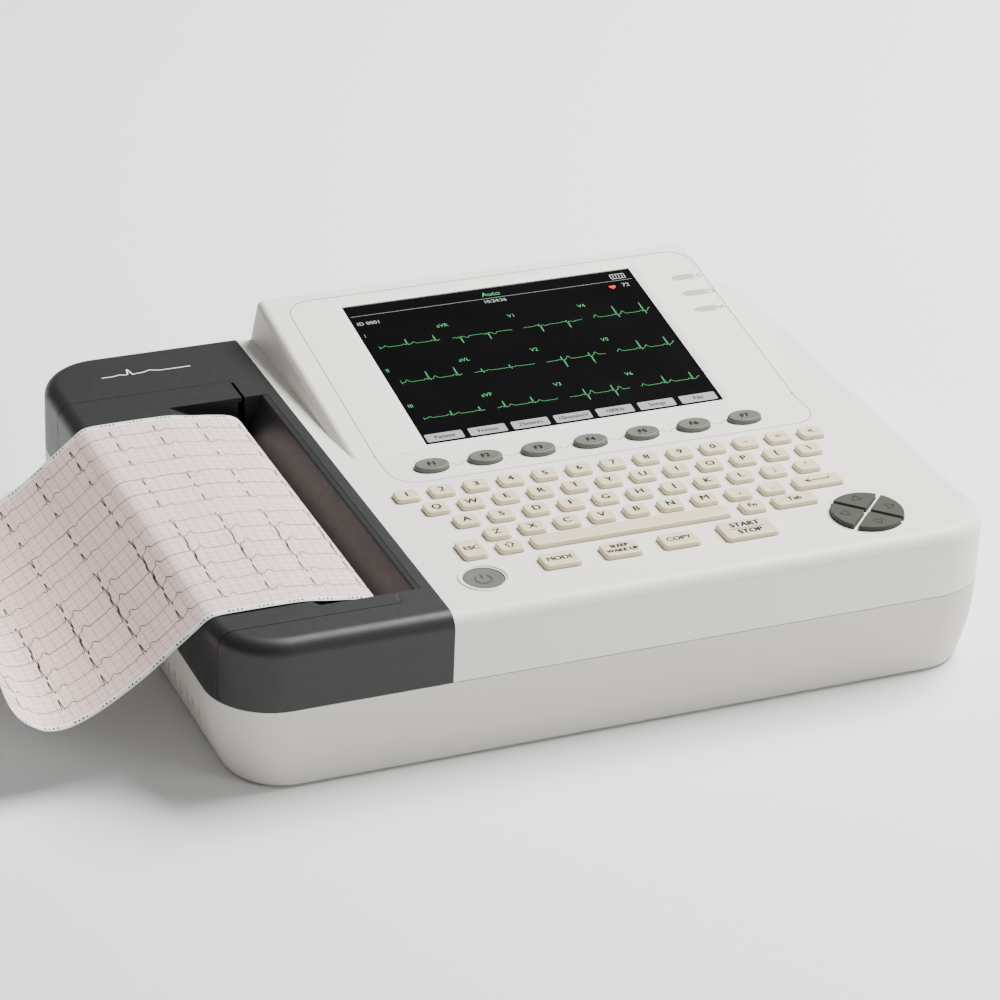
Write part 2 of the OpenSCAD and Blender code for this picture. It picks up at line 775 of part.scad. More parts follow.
chart_points = concat(
  [[paper_x, platen_z]],
  [for (i = [0:len(chart_curve) - 2], t = [0, 1 / 3, 2 / 3]) let (q = smooth(chart_curve, i, t))
    [paper_x - q[0], rec_z + q[1]]],
  [[paper_x - chart_curve[len(chart_curve) - 1][0], rec_z + chart_curve[len(chart_curve) - 1][1]]]);
module chart_paper() {
  color("mistyrose") paper_strip(chart_points);
}

module platen_rubber() {
  color("black") difference() {
    rod(platen_x, platen_z, platen_front, platen_back, platen_r);
    rod(platen_x, platen_z, platen_front - 1, platen_back + 1, shaft_r);
  }
}

module platen_shaft() {
  color("silver") rod(platen_x, platen_z, front_ear_y - 2, gear_y + gear_t + 0.5, shaft_r);
}

bush_w = 8;
module platen_bushes() {
  color("ivory") for (y = [front_ear_y, back_ear_y]) difference() {
    box(platen_x - bush_w / 2, platen_x + bush_w / 2, y, y + ear_t, platen_z - bush_w / 2, platen_z + bush_w / 2);
    rod(platen_x, platen_z, y - 1, y + ear_t + 1, shaft_r + shaft_gap);
  }
}

// ---------- gears ----------

// A point of an involute that starts from a base circle of radius b, at roll-off angle t.
function involute(b, t) = b * [cos(t) + t * PI / 180 * sin(t), sin(t) - t * PI / 180 * cos(t)];
function turn(p, a) = [p[0] * cos(a) - p[1] * sin(a), p[0] * sin(a) + p[1] * cos(a)];
function flip(p) = [p[0], -p[1]];
// One tooth, centred on angle a: both flanks run from root to tip.
function tooth(teeth, a) = let (
    pitch = gear_m * teeth / 2, base = pitch * cos(20), tip = pitch + 0.9 * gear_m,
    root = pitch - 1.2 * gear_m, end = sqrt(pow(tip / base, 2) - 1) * 180 / PI,
    at_pitch = sqrt(pow(pitch / base, 2) - 1) * 180 / PI,
    lead = atan2(involute(base, at_pitch)[1], involute(base, at_pitch)[0]),
    half = 90 / teeth - lead * -1 - 0.05 * 180 / PI / pitch,
    flank = [for (i = [0:4]) turn(involute(base, end * i / 4), -half)])
  concat([turn([min(root, base), 0], a - half)], [for (p = flank) turn(p, a)],
    [for (i = [4:-1:0]) turn(flip(flank[i]), a)], [turn([min(root, base), 0], a + half)]);

module gear(teeth, x, z, start, bore) {
  translate([x, gear_y + gear_t, z]) rotate([90, 0, 0]) linear_extrude(gear_t) difference() {
    polygon([for (i = [0:teeth - 1]) each tooth(teeth, start + i * 360 / teeth)]);
    circle(bore);
  }
}

// Each gear starts with a tooth opposite a gap of the one it meets.
idler_start = mesh_angle + 180 + 180 / idler_teeth;
idler_lag = (pinion_angle - idler_start) % (360 / idler_teeth);
pinion_start = pinion_angle + 180 + 180 / pinion_teeth + idler_lag * idler_teeth / pinion_teeth;

module platen_gear() { color("white") gear(platen_teeth, platen_x, platen_z, mesh_angle, shaft_r); }
module idler_gear() { color("white") gear(idler_teeth, idler_x, idler_z, idler_start, axle_r + shaft_gap); }
module motor_pinion() {
  color("gold") {
    gear(pinion_teeth, pinion_x, pinion_z, pinion_start, 1.5);
    rod(pinion_x, pinion_z, gear_y - 1, plate_y + plate_t + 9, 1.5);
  }
}

module idler_axle() {
  color("silver") {
    rod(idler_x, idler_z, gear_y - 2, plate_y, axle_r);
    rod(idler_x, idler_z, gear_y - 2, gear_y - 0.5, axle_r + 1.5);
  }
}

module step_motor() {
  color("silver") difference() {
    box(pinion_x - motor_w / 2, pinion_x + motor_w / 2, plate_y + plate_t, plate_y + plate_t + motor_l,
      pinion_z - motor_w / 2, pinion_z + motor_w / 2);
    rod(pinion_x, pinion_z, plate_y + plate_t - 1, plate_y + plate_t + 10, motor_bore);
  }
}

module drive_plate() {
  color("silver") difference() {
    box(pinion_x - 16, rec_right - wall - 4, plate_y, plate_y + plate_t, floor_z, idler_z + 5);
    rod(pinion_x, pinion_z, plate_y - 1, plate_y + plate_t + 1, 5);
  }
}

module print_head() {
  color("ivory") box(head_x, head_x + head_t, platen_front, platen_back, platen_z - 8, platen_z + 4);
}

module head_heatsink() {
  color("silver") {
    box(head_x + head_t, head_x + head_t + sink_t, platen_front, platen_back, platen_z - 9, platen_z + 4);
    box(head_x + head_t + sink_t + spring_l, head_x + head_t + sink_t + spring_l + 1.5,
      platen_front, platen_back, floor_z, platen_z + 4);
  }
}

module head_springs() {
  coils = 4;
  pitch = spring_l / coils;
  color("silver") for (y = [platen_front + 30, (platen_front + platen_back) / 2, platen_back - 30])
    translate([head_x + head_t + sink_t, y, platen_z - 2]) rotate([0, 90, 0])
      rotate_extrude() polygon(concat(
        [[1.4, 0]],
        [for (i = [0:coils - 1]) each [[2.4, i * pitch], [3, (i + 0.5) * pitch]]],
        [[2.4, spring_l], [1.4, spring_l]]));
}

// ---------- nodes ----------

base_shell();
top_shell();
recorder_cover();
paper_door();
rubber_feet();
case_screws();
lcd_panel();
screen_window();
status_lights();
key_mat();
key_board();
main_board();
board_standoffs();
power_supply();
battery_pack();
battery_cover();
mains_inlet();
inlet_pins();
ground_stud();
patient_socket();
network_port();
usb_ports();
paper_tray();
chart_roll();
roll_core();
paper_web();
chart_paper();
platen_rubber();
platen_shaft();
platen_gear();
platen_bushes();
print_head();
head_heatsink();
head_springs();
drive_plate();
idler_gear();
idler_axle();
step_motor();
motor_pinion();
color("ivory") letter_row(0);  // number_keys
color("ivory") letter_row(1);  // top_letter_keys
color("ivory") letter_row(2);  // home_letter_keys
color("ivory") letter_row(3);  // low_letter_keys
color("ivory") single(space);  // space_bar
color("ivory") single(escape);  // escape_key
color("ivory") single(shift);  // shift_key
color("ivory") single(enter);  // enter_key
color("ivory") single(tab);  // tab_key
color("ivory") single(func);  // function_key
color("ivory") single(mode);  // mode_key
color("ivory") single(sleep);  // sleep_key
color("ivory") single(copy);  // copy_key
color("ivory") single(start);  // start_key
power_button();
soft_keys();
cursor_key(0);  // cursor_up
cursor_key(90);  // cursor_left
cursor_key(180);  // cursor_down
cursor_key(270);  // cursor_right
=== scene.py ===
# %% [markdown]
# # A desktop ecg machine, made piece by piece
# The model arrives as exact CAD solids: two white case halves, a dark recorder with a sliding paper
# door, a screen in a sloping housing, and the works inside. This lesson dresses them. Hard cases keep
# their CAD mesh and get soft edges and a moulded finish. Keycaps, print, paper and the picture on the
# screen are new pieces, worked out with numpy as surfaces and laid on the CAD's own faces.

# %% Load the frame
import bpy
import numpy as np
from mathutils import Matrix, Vector


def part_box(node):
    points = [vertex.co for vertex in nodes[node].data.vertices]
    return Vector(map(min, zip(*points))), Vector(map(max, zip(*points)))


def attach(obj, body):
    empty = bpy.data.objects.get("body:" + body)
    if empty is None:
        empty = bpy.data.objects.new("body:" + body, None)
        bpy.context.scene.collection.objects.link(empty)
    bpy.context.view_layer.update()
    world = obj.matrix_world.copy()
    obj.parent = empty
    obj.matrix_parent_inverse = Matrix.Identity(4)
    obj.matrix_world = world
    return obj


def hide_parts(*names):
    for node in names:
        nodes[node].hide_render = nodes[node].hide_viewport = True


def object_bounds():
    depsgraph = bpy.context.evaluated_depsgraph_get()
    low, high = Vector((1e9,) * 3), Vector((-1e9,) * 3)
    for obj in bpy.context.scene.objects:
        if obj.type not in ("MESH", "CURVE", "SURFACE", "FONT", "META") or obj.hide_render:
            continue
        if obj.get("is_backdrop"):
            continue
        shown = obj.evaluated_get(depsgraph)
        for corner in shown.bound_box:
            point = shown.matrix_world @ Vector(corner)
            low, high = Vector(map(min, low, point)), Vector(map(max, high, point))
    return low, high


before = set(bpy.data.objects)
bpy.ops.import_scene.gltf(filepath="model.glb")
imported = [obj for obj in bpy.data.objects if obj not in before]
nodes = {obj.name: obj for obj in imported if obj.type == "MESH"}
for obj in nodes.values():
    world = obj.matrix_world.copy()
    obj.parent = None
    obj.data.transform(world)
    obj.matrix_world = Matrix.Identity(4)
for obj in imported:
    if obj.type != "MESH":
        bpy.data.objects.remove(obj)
cad_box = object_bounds()
rng = np.random.default_rng(7)

# %% [markdown]
# ## Reading places from the CAD
# Every new piece needs to know where the deck, the sloping face and the recorder's top are. They are
# read from the boxes of the CAD pieces, so the new pieces follow when the CAD changes. The face's slope
# comes from the screen window, a flat sheet parallel to it: its upper edges are found among its corners.

# %% Places
low = {n: np.array(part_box(n)[0]) for n in nodes}
high = {n: np.array(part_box(n)[1]) for n in nodes}
CAP = high["number_keys"][2]
CAP_RISE = 0.0026  # a keycap's top stands this far above the deck
DECK = CAP - CAP_RISE
REC = high["recorder_cover"][2]
INK = 0.00005  # print lies this far above the face that carries it
LINE = 0.00006  # and drawn lines this far


def corners(node):
    """The separate corner points of a CAD node, as an array of x, y, z."""
    co = np.empty(len(nodes[node].data.vertices) * 3, np.float32)
    nodes[node].data.vertices.foreach_get("co", co)
    return np.unique(co.reshape(-1, 3).round(6), axis=0)


glass = corners("screen_window")
front_edge = glass[glass[:, 1] < glass[:, 1].mean()]
back_edge = glass[glass[:, 1] > glass[:, 1].mean()]
front_top = front_edge[front_edge[:, 2].argmax()]
back_top = back_edge[back_edge[:, 2].argmax()]
run = back_top - front_top
TILT = float(np.arctan2(run[2], run[1]))
UP = np.array([0, np.cos(TILT), np.sin(TILT)])
OUT = np.array([0, -np.sin(TILT), np.cos(TILT)])
SCREEN = np.array([glass[:, 0].mean(), *((front_top + back_top)[1:] / 2)])
WALL = 0.0026  # the window's face lies this far under the sloping face
print("deck", round(DECK, 4), "recorder top", round(REC, 4), "slope", round(np.degrees(TILT), 2), "degrees")


def on_deck(x, y, h=0.0):
    """Points on the level deck: x and y in metres, h above it."""
    return np.stack(np.broadcast_arrays(x, y, DECK + np.asarray(h)), -1).astype(float)


def on_face(x, s, h=0.0):
    """Points on the sloping face: x across, s up the slope from the screen's middle, h out of the face."""
    x, s, h = np.broadcast_arrays(x, s, h)
    return SCREEN * [0, 1, 1] + x[..., None] * [1, 0, 0] + s[..., None] * UP + (h + WALL)[..., None] * OUT


# %% [markdown]
# ## Shader maths as plain expressions
# A finish is a small calculation at each point: noise, stripes, a mask. Wired by hand it is a wall of
# boxes. Here one class wraps a socket so that + - * / add the Math nodes, and one method adds any
# other node with its settings and inputs.

# %% Finish: a material being written
class Value:
    """A number that varies over a surface: an output socket with arithmetic."""

    def __init__(self, finish, socket):
        self.finish, self.socket = finish, socket

    def math(self, operation, a, b=0.0):
        return self.finish.node("Math", {"operation": operation}, {0: a, 1: b})

    def __add__(self, b): return self.math("ADD", self, b)
    def __sub__(self, b): return self.math("SUBTRACT", self, b)
    def __mul__(self, b): return self.math("MULTIPLY", self, b)
    def __rmul__(self, b): return self.math("MULTIPLY", b, self)
    def __truediv__(self, b): return self.math("DIVIDE", self, b)
    def __lt__(self, b): return self.math("LESS_THAN", self, b)
    def __gt__(self, b): return self.math("GREATER_THAN", self, b)
    def __abs__(self): return self.math("ABSOLUTE", self)

    def fraction(self): return self.math("FRACT", self)


class Finish:
    """A Principled material and its node tree."""

    def __init__(self, name, **constants):
        self.material = bpy.data.materials.new(name)
        self.material.use_nodes = True
        self.tree = self.material.node_tree
        self.shader = self.tree.nodes["Principled BSDF"]
        for socket, value in constants.items():
            self.set(socket.replace("_", " ").title().replace("Ior", "IOR"), value)

    def set(self, socket, value):
        """Give one of the shader's sockets a number, a colour or a link."""
        target = self.shader.inputs[socket]
        if isinstance(value, Value):
            self.tree.links.new(value.socket, target)
        elif isinstance(value, tuple):
            target.default_value = (*value, 1.0)[:4]
        else:
            target.default_value = value

    def node(self, kind, settings=None, inputs=None, out=0):
        """Add a node by its short type name, set it up, fill its sockets, and hand back one output."""
        made = self.tree.nodes.new("ShaderNode" + kind)
        for key, value in (settings or {}).items():
            setattr(made, key, value)
        for key, value in (inputs or {}).items():
            if isinstance(value, Value):
                self.tree.links.new(value.socket, made.inputs[key])
            else:
                made.inputs[key].default_value = value
        return Value(self, made.outputs[out])

    def place(self):
        return self.node("TexCoord", out="Object")

    def noise(self, scale, detail=3.0, rough=0.5, where=None):
        return self.node("TexNoise", None, {"Vector": where or self.place(), "Scale": scale,
                                            "Detail": detail, "Roughness": rough})

    def mix(self, factor, a, b):
        """A blend of two colours, from a at 0 to b at 1."""
        colours = {6: a if isinstance(a, Value) else (*a, 1.0), 7: b if isinstance(b, Value) else (*b, 1.0)}
        return self.node("Mix", {"data_type": "RGBA"}, {0: factor, **colours}, out=2)

    def bump(self, height, strength, distance):
        self.set("Normal", self.node("Bump", None, {"Height": height, "Strength": strength,
                                                    "Distance": distance}))


# %% [markdown]
# ## Moulded plastic
# The case is injection moulded: a fine spark texture, a slightly uneven colour from the pigment and
# handling, and a gloss that changes with the texture. Three noises at different sizes do it: one as
# broad as a hand for tone, one of a few millimetres for gloss, and one of half a millimetre for the
# texture you feel.

# %% The plastics
def moulded(name, colour, shade, rough=0.45, grain=0.3, tone=9.0, **constants):
    """Moulded plastic from colour to shade, with a texture grain as strong as grain."""
    f = Finish(name, **constants)
    broad = f.noise(tone, 4.0, 0.6)
    f.set("Base Color", f.mix(broad, colour, shade))
    f.set("Roughness", f.noise(260.0, 2.0) * 0.14 + (rough - 0.07))
    f.bump(f.noise(1900.0, 1.0), grain, 0.00012)
    return f.material


shell_white = moulded("shell_white", (0.68, 0.66, 0.60), (0.635, 0.61, 0.55), 0.5, 0.35)
deck_white = moulded("deck_white", (0.86, 0.845, 0.79), (0.82, 0.80, 0.735), 0.48, 0.3)
recorder_dark = moulded("recorder_dark", (0.0100, 0.0104, 0.0106), (0.0140, 0.0147, 0.0148), 0.46, 0.45,
                        specular_ior_level=0.42)
key_cream = moulded("key_cream", (0.74, 0.66, 0.45), (0.68, 0.60, 0.39), 0.45, 0.2, 60.0)
key_grey = moulded("key_grey", (0.125, 0.129, 0.108), (0.102, 0.106, 0.088), 0.48, 0.2, 60.0,
                   specular_ior_level=0.25)
cursor_grey = moulded("cursor_grey", (0.062, 0.064, 0.053), (0.052, 0.054, 0.045), 0.5, 0.2, 60.0,
                      specular_ior_level=0.12)
inner_grey = moulded("inner_grey", (0.12, 0.125, 0.125), (0.09, 0.095, 0.095), 0.5, 0.4)
inlet_black = moulded("inlet_black", (0.018, 0.018, 0.018), (0.027, 0.026, 0.026), 0.42, 0.4, 50.0)
gear_acetal = moulded("gear_acetal", (0.78, 0.77, 0.72), (0.70, 0.69, 0.64), 0.36, 0.15, 80.0)
light_lens = moulded("light_lens", (0.47, 0.51, 0.43), (0.41, 0.45, 0.38), 0.25, 0.1, 150.0)
foot_rubber = moulded("foot_rubber", (0.035, 0.035, 0.035), (0.05, 0.05, 0.048), 0.78, 0.6, 90.0)
key_rubber = moulded("key_rubber", (0.45, 0.43, 0.36), (0.39, 0.37, 0.31), 0.7, 0.4, 40.0)
platen_rubber = moulded("platen_rubber", (0.014, 0.014, 0.015), (0.024, 0.023, 0.024), 0.6, 0.5, 50.0)
battery_wrap = moulded("battery_wrap", (0.03, 0.08, 0.30), (0.022, 0.06, 0.24), 0.28, 0.1, 30.0)
core_card = moulded("core_card", (0.36, 0.25, 0.14), (0.28, 0.19, 0.1), 0.8, 0.7, 70.0)
head_ceramic = moulded("head_ceramic", (0.6, 0.53, 0.42), (0.5, 0.43, 0.33), 0.22, 0.1, 60.0)
print("plastics and rubbers:", len(bpy.data.materials))

# %% [markdown]
# ## Metals, boards and the black window
# Rolled sheet shows fine lines along one direction, so its noise is stretched with a Mapping node.
# The circuit boards get faint tracks: a wave broken by noise, a little lighter than the mask over it.

# %% The metals and the board
def metal(name, colour, rough=0.32, stretch=(1.0, 30.0, 1.0)):
    """Brushed metal: noise squeezed across the grain changes both its gloss and its tone."""
    f = Finish(name, metallic=1.0)
    along = f.node("Mapping", None, {"Vector": f.place(), "Scale": stretch})
    lines = f.noise(70.0, 3.0, 0.6, along)
    darker = tuple(c * 0.78 for c in colour)
    f.set("Base Color", f.mix(lines, darker, colour))
    f.set("Roughness", lines * 0.2 + (rough - 0.08))
    f.bump(lines, 0.15, 0.0001)
    return f.material


shaft_steel = metal("shaft_steel", (0.62, 0.62, 0.61), 0.22, (12.0, 1.0, 12.0))
plate_steel = metal("plate_steel", (0.58, 0.59, 0.60), 0.38)
screw_steel = metal("screw_steel", (0.55, 0.55, 0.54), 0.3)
pin_nickel = metal("pin_nickel", (0.66, 0.65, 0.62), 0.3)
supply_case = metal("supply_case", (0.68, 0.69, 0.70), 0.4)
standoff_brass = metal("standoff_brass", (0.72, 0.55, 0.27), 0.26)
display_frame = metal("display_frame", (0.5, 0.51, 0.52), 0.42)
motor_case = moulded("motor_case", (0.05, 0.05, 0.053), (0.07, 0.07, 0.072), 0.35, 0.25, 50.0)

f = Finish("board_green")
tracks = f.node("TexWave", {"wave_type": "BANDS"}, {"Vector": f.place(), "Scale": 160.0, "Distortion": 9.0,
                                                    "Detail": 2.0, "Detail Scale": 0.4}, out=1)
f.set("Base Color", f.mix((tracks > 0.62) * 0.6, (0.012, 0.075, 0.03), (0.05, 0.2, 0.08)))
f.set("Roughness", f.noise(300.0) * 0.2 + 0.25)
board_green = f.material

f = Finish("screen_black", specular_ior_level=0.08)
smear = f.noise(22.0, 5.0, 0.65)
f.set("Base Color", f.mix(smear, (0.0008, 0.0008, 0.001), (0.0016, 0.0016, 0.002)))
f.set("Roughness", smear * 0.12 + 0.16)
screen_black = f.material
print("materials so far:", len(bpy.data.materials))

# %% [markdown]
# ## Softening the CAD's edges
# A real moulding has no sharp edge: each catches a thin line of light. Four modifiers make it from the
# CAD mesh and leave the mesh itself alone. Weld joins its loose triangles, Decimate merges the flat
# ones so that bevels have room, Bevel rounds what is left sharp, and Weighted Normal keeps large flats
# flat to the eye while roundings stay smooth.

# %% Edge softening
def soften(name, material, width=0.0004, sharp=32.0, bevel=True):
    """Give a CAD node its finish, rounded edges of that width, and smooth shading below the sharp angle."""
    piece = nodes[name]
    piece.data.materials.clear()
    piece.data.materials.append(material)
    piece.data.polygons.foreach_set("use_smooth", np.ones(len(piece.data.polygons), bool))
    weld = piece.modifiers.new("Weld", "WELD")
    weld.merge_threshold = 2e-6
    flat = piece.modifiers.new("Flats", "DECIMATE")
    flat.decimate_type, flat.angle_limit = "DISSOLVE", np.radians(0.4)
    if bevel:
        edge = piece.modifiers.new("Edges", "BEVEL")
        edge.width, edge.segments = width, 2
        edge.limit_method, edge.angle_limit = "ANGLE", np.radians(sharp)
        edge.use_clamp_overlap = True
    split = piece.modifiers.new("Split", "EDGE_SPLIT")
    split.split_angle = np.radians(46)
    normals = piece.modifiers.new("Normals", "WEIGHTED_NORMAL")
    normals.keep_sharp = True
    normals.weight = 100


finishes = {
    shell_white: ["base_shell", "battery_cover"], deck_white: ["top_shell"],
    recorder_dark: ["recorder_cover", "paper_door"], inner_grey: ["paper_tray"],
    inlet_black: ["mains_inlet"], foot_rubber: ["rubber_feet"], cursor_grey: [
        "cursor_up", "cursor_right", "cursor_down", "cursor_left"],
    light_lens: ["status_lights"], key_rubber: ["key_mat"], board_green: ["key_board", "main_board"],
    supply_case: ["power_supply", "head_heatsink"], battery_wrap: ["battery_pack"],
    standoff_brass: ["board_standoffs", "ground_stud", "motor_pinion"], motor_case: ["step_motor"],
    pin_nickel: ["inlet_pins", "patient_socket", "network_port", "usb_ports"],
    gear_acetal: ["platen_gear", "idler_gear", "platen_bushes"], core_card: ["roll_core"],
    shaft_steel: ["platen_shaft", "head_springs", "idler_axle"], plate_steel: ["drive_plate"],
    screw_steel: ["case_screws"], display_frame: ["lcd_panel"], screen_black: ["screen_window"],
    head_ceramic: ["print_head"], platen_rubber: ["platen_rubber"],
}
wide = {"base_shell": 0.0006, "top_shell": 0.0004, "recorder_cover": 0.0009, "paper_door": 0.0008,
        "cursor_up": 0.0009, "cursor_right": 0.0009, "cursor_down": 0.0009, "cursor_left": 0.0009}
for material, names in finishes.items():
    for name in names:
        soften(name, material, wide.get(name, 0.00025))
print("CAD pieces dressed:", sum(len(v) for v in finishes.values()))

# %% [markdown]
# ## Shells from rings
# A keycap, a button or a ring is a stack of closed outlines. One function takes such stacks as an
# array of shells, rings and points, joins each ring to the next with quads and closes both ends, and
# puts the whole batch in one mesh. Outlines run anticlockwise seen from above and rings run upwards,
# so the faces point outwards.

# %% Stacks of rings
def put(name, points, faces, material, body, smooth=True, uv=None):
    """Make a mesh piece from arrays, give it its finish and let it ride on a CAD body."""
    mesh = bpy.data.meshes.new(name)
    corners_of = [list(map(int, face)) for face in faces]
    mesh.from_pydata(np.asarray(points, float).reshape(-1, 3).tolist(), [], corners_of)
    mesh.polygons.foreach_set("use_smooth", np.full(len(mesh.polygons), smooth))
    if uv is not None:
        loops = np.empty(len(mesh.loops), np.int32)
        mesh.loops.foreach_get("vertex_index", loops)
        layer = mesh.uv_layers.new(name="UVMap")
        layer.data.foreach_set("uv", np.asarray(uv, np.float32)[loops].ravel())
    mesh.materials.append(material)
    mesh.update()
    piece = bpy.data.objects.new(name, mesh)
    bpy.context.collection.objects.link(piece)
    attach(piece, body)
    return piece


def ring_faces(shells, rings, around, closed=True):
    """Quads between neighbouring rings of each shell, and an n-gon at each end of a closed one."""
    base = np.arange(shells)[:, None, None] * rings * around
    ring = np.arange(rings - 1)[None, :, None] * around
    a = np.arange(around)[None, None, :]
    b = (a + 1) % around
    here, above = base + ring, base + ring + around
    quads = np.stack([here + a, here + b, above + b, above + a], -1)
    faces = quads.reshape(-1, 4).tolist()
    if closed:
        bottom = (base[:, 0, 0, None] + np.arange(around)[::-1]).tolist()
        top = (base[:, 0, 0, None] + (rings - 1) * around + np.arange(around)).tolist()
        faces += bottom + top
    return faces


def rounded(w, d, r, around=7):
    """Outline of a w by d rectangle with corners of radius r, each a quarter circle about its own centre."""
    turn = np.linspace(0, np.pi / 2, around)
    quarter = np.arange(4)[:, None] * np.pi / 2 + turn
    centre = np.array([[1, 1], [-1, 1], [-1, -1], [1, -1]]) * [w / 2 - r, d / 2 - r]
    return (centre[:, None] + r * np.stack([np.cos(quarter), np.sin(quarter)], -1)).reshape(-1, 2)


def oval(w, d, around=40):
    """Outline of an ellipse w wide and d deep."""
    a = np.arange(around) * 2 * np.pi / around
    return np.stack([w / 2 * np.cos(a), d / 2 * np.sin(a)], -1)


def cap_rings(outline, z0, z1, edge=0.0009, dish=0.0003):
    """Rings of one cap: up the skirt, over a round edge, then in to the middle, which dips by dish.

    An outline scaled by k stands at height z1 - edge + edge * sin(a) while k falls by edge * (1 - cos(a)).
    """
    half = np.abs(outline).max(0)
    a = np.linspace(0, np.pi / 2, 5)
    inset = edge * (1 - np.cos(a))
    rings = [np.column_stack([outline, np.full(len(outline), z0)])]
    scale = 1 - inset[:, None] / half
    rings += [np.column_stack([outline * s, np.full(len(outline), z1 - edge + edge * np.sin(t))])
              for s, t in zip(scale, a)]
    rings += [np.column_stack([outline * scale[-1] * k, np.full(len(outline), z1 - dish * (1 - k * k))])
              for k in (0.85, 0.65, 0.4, 0.12)]
    return np.array(rings)


# %% [markdown]
# ## Keycaps
# The CAD caps are plain blocks with flanges, right for the mechanism. What the hand sees is a cap with
# round corners and a slightly hollow top, so each row of caps gets a new piece on the same centres.
# The centres are found in the CAD mesh itself: its top faces, one island per key.

# %% Keycaps
def key_boxes(node):
    """Centre x, centre y, width and depth of each cap in a CAD node, from the corners of its top faces."""
    top = corners(node)
    top = top[top[:, 2] > high[node][2] - 1e-5]
    order = top[np.argsort(top[:, 0])]
    groups = np.split(order, np.where(np.diff(order[:, 0]) > 0.0038)[0] + 1)
    if np.ptp(groups[0][:, 0]) < 0.003:  # a straight-sided cap has corners only at its left and right ends
        groups = [np.concatenate(pair) for pair in zip(groups[::2], groups[1::2])]
    return np.array([[*(g.min(0) + g.max(0))[:2] / 2, *(g.max(0) - g.min(0))[:2]] for g in groups])


def caps(name, node, shape, material, edge=0.0010, dish=0.0003):
    """New caps in place of a CAD node's: the outline shape(w, d), stacked and copied to each centre."""
    keys = key_boxes(node)
    one = cap_rings(shape(keys[0, 2], keys[0, 3]), low[node][2], high[node][2], edge, dish)
    points = one[None] + np.concatenate([keys[:, :2], np.zeros((len(keys), 1))], 1)[:, None, None]
    faces = ring_faces(len(keys), one.shape[0], one.shape[1])
    piece = put(name, points, faces, material, node)
    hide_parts(node)
    return keys


def square(w, d):
    """A keycap's outline, with corners of 2.4 mm."""
    return rounded(w, d, 0.0024)


cream = ["number_keys", "top_letter_keys", "home_letter_keys", "low_letter_keys", "space_bar",
         "escape_key", "shift_key", "enter_key", "tab_key", "function_key", "mode_key", "sleep_key",
         "copy_key", "start_key"]
centres = {node: caps(node + "_caps", node, square, key_cream) for node in cream}
for node, name, edge, dish in (("soft_keys", "soft_keys_caps", 0.0012, 0.0004),
                               ("power_button", "power_button_cap", 0.0006, 0.0005)):
    centres[node] = caps(name, node, oval, key_grey, edge, dish)
print({n: len(c) for n, c in centres.items()})

# %% [markdown]
# ## Flat print: ribbons and letters
# Print is ink a few hundredths of a millimetre thick. Lines are ribbons: each point of a path is moved
# half a width to both sides, square to the path and to the surface. Letters are font outlines turned
# into mesh, then laid on a surface through the same two directions that any flat sheet has.

# %% Ribbons and letters
def ribbons(name, paths, normal, width, material, body):
    """Flat strips along paths: point plus and minus half a width times normal x direction of travel."""
    points, faces, start = [], [], 0
    for path in paths:
        path = np.asarray(path, float)
        go = np.gradient(path, axis=0)
        go /= np.linalg.norm(go, axis=1, keepdims=True)
        n = np.broadcast_to(normal if not callable(normal) else normal(path), path.shape)
        side = np.cross(n, go)
        side /= np.linalg.norm(side, axis=1, keepdims=True)
        points += [path - side * width / 2, path + side * width / 2]
        i = start + np.arange(len(path) - 1)
        faces.append(np.stack([i, i + 1, i + 1 + len(path), i + len(path)], 1))
        start += 2 * len(path)
    return put(name, np.concatenate(points), np.concatenate(faces), material, body, smooth=False)


def letters(name, words, material, body, bold=0.0):
    """One mesh of many words: each is (text, middle point, size, across, up, align).

    Bold words are printed again, a little to the side and a hair higher: middle + bold * across.
    """
    if bold:
        words = words + [(t, at + bold * across + 0.00001 * np.cross(across, up), size, across, up, align)
                         for t, at, size, across, up, align in words]
    points, faces, start = [], [], 0
    made = {}
    for text, middle, size, across, up, align in words:
        if (text, align) not in made:
            curve = bpy.data.curves.new("word", "FONT")
            curve.body, curve.size, curve.resolution_u = text, 1.0, 3
            curve.align_x, curve.align_y = align, "CENTER"
            word = bpy.data.objects.new("word", curve)
            mesh = bpy.data.meshes.new_from_object(word)
            co = np.array([v.co for v in mesh.vertices]).reshape(-1, 3)
            made[text, align] = co, [list(p.vertices) for p in mesh.polygons]
            bpy.data.objects.remove(word)
            bpy.data.curves.remove(curve)
            bpy.data.meshes.remove(mesh)
        co, polygons = made[text, align]
        points.append(np.asarray(middle) + size * (co[:, :1] * across + co[:, 1:2] * up))
        faces += [[start + i for i in p] for p in polygons]
        start += len(co)
    return put(name, np.concatenate(points), faces, material, body, smooth=False)


X, Y = np.array([1.0, 0, 0]), np.array([0, 1.0, 0])


def ink(name, colour, rough=0.5):
    """Printing ink: even colour with a faint mottle where it lies thinner."""
    f = Finish(name, specular_ior_level=0.15)
    thin = tuple(min(1.0, c * 1.4 + 0.002) for c in colour)
    f.set("Base Color", f.mix(f.noise(900.0, 2.0), colour, thin))
    f.set("Roughness", f.noise(400.0) * 0.15 + (rough - 0.07))
    return f.material


key_ink = ink("key_ink", (0.008, 0.008, 0.008))
line_ink = ink("line_ink", (0.20, 0.205, 0.20))
pale_ink = ink("pale_ink", (0.80, 0.80, 0.78))
symbol_ink = ink("symbol_ink", (0.045, 0.055, 0.075))

# %% [markdown]
# ## Legends on the keys
# Letters and digits are centred on the caps whose places were read above, just above their hollow
# tops. The two arrows are ribbons. Each row's print rides on its own row, so it goes down with the keys.

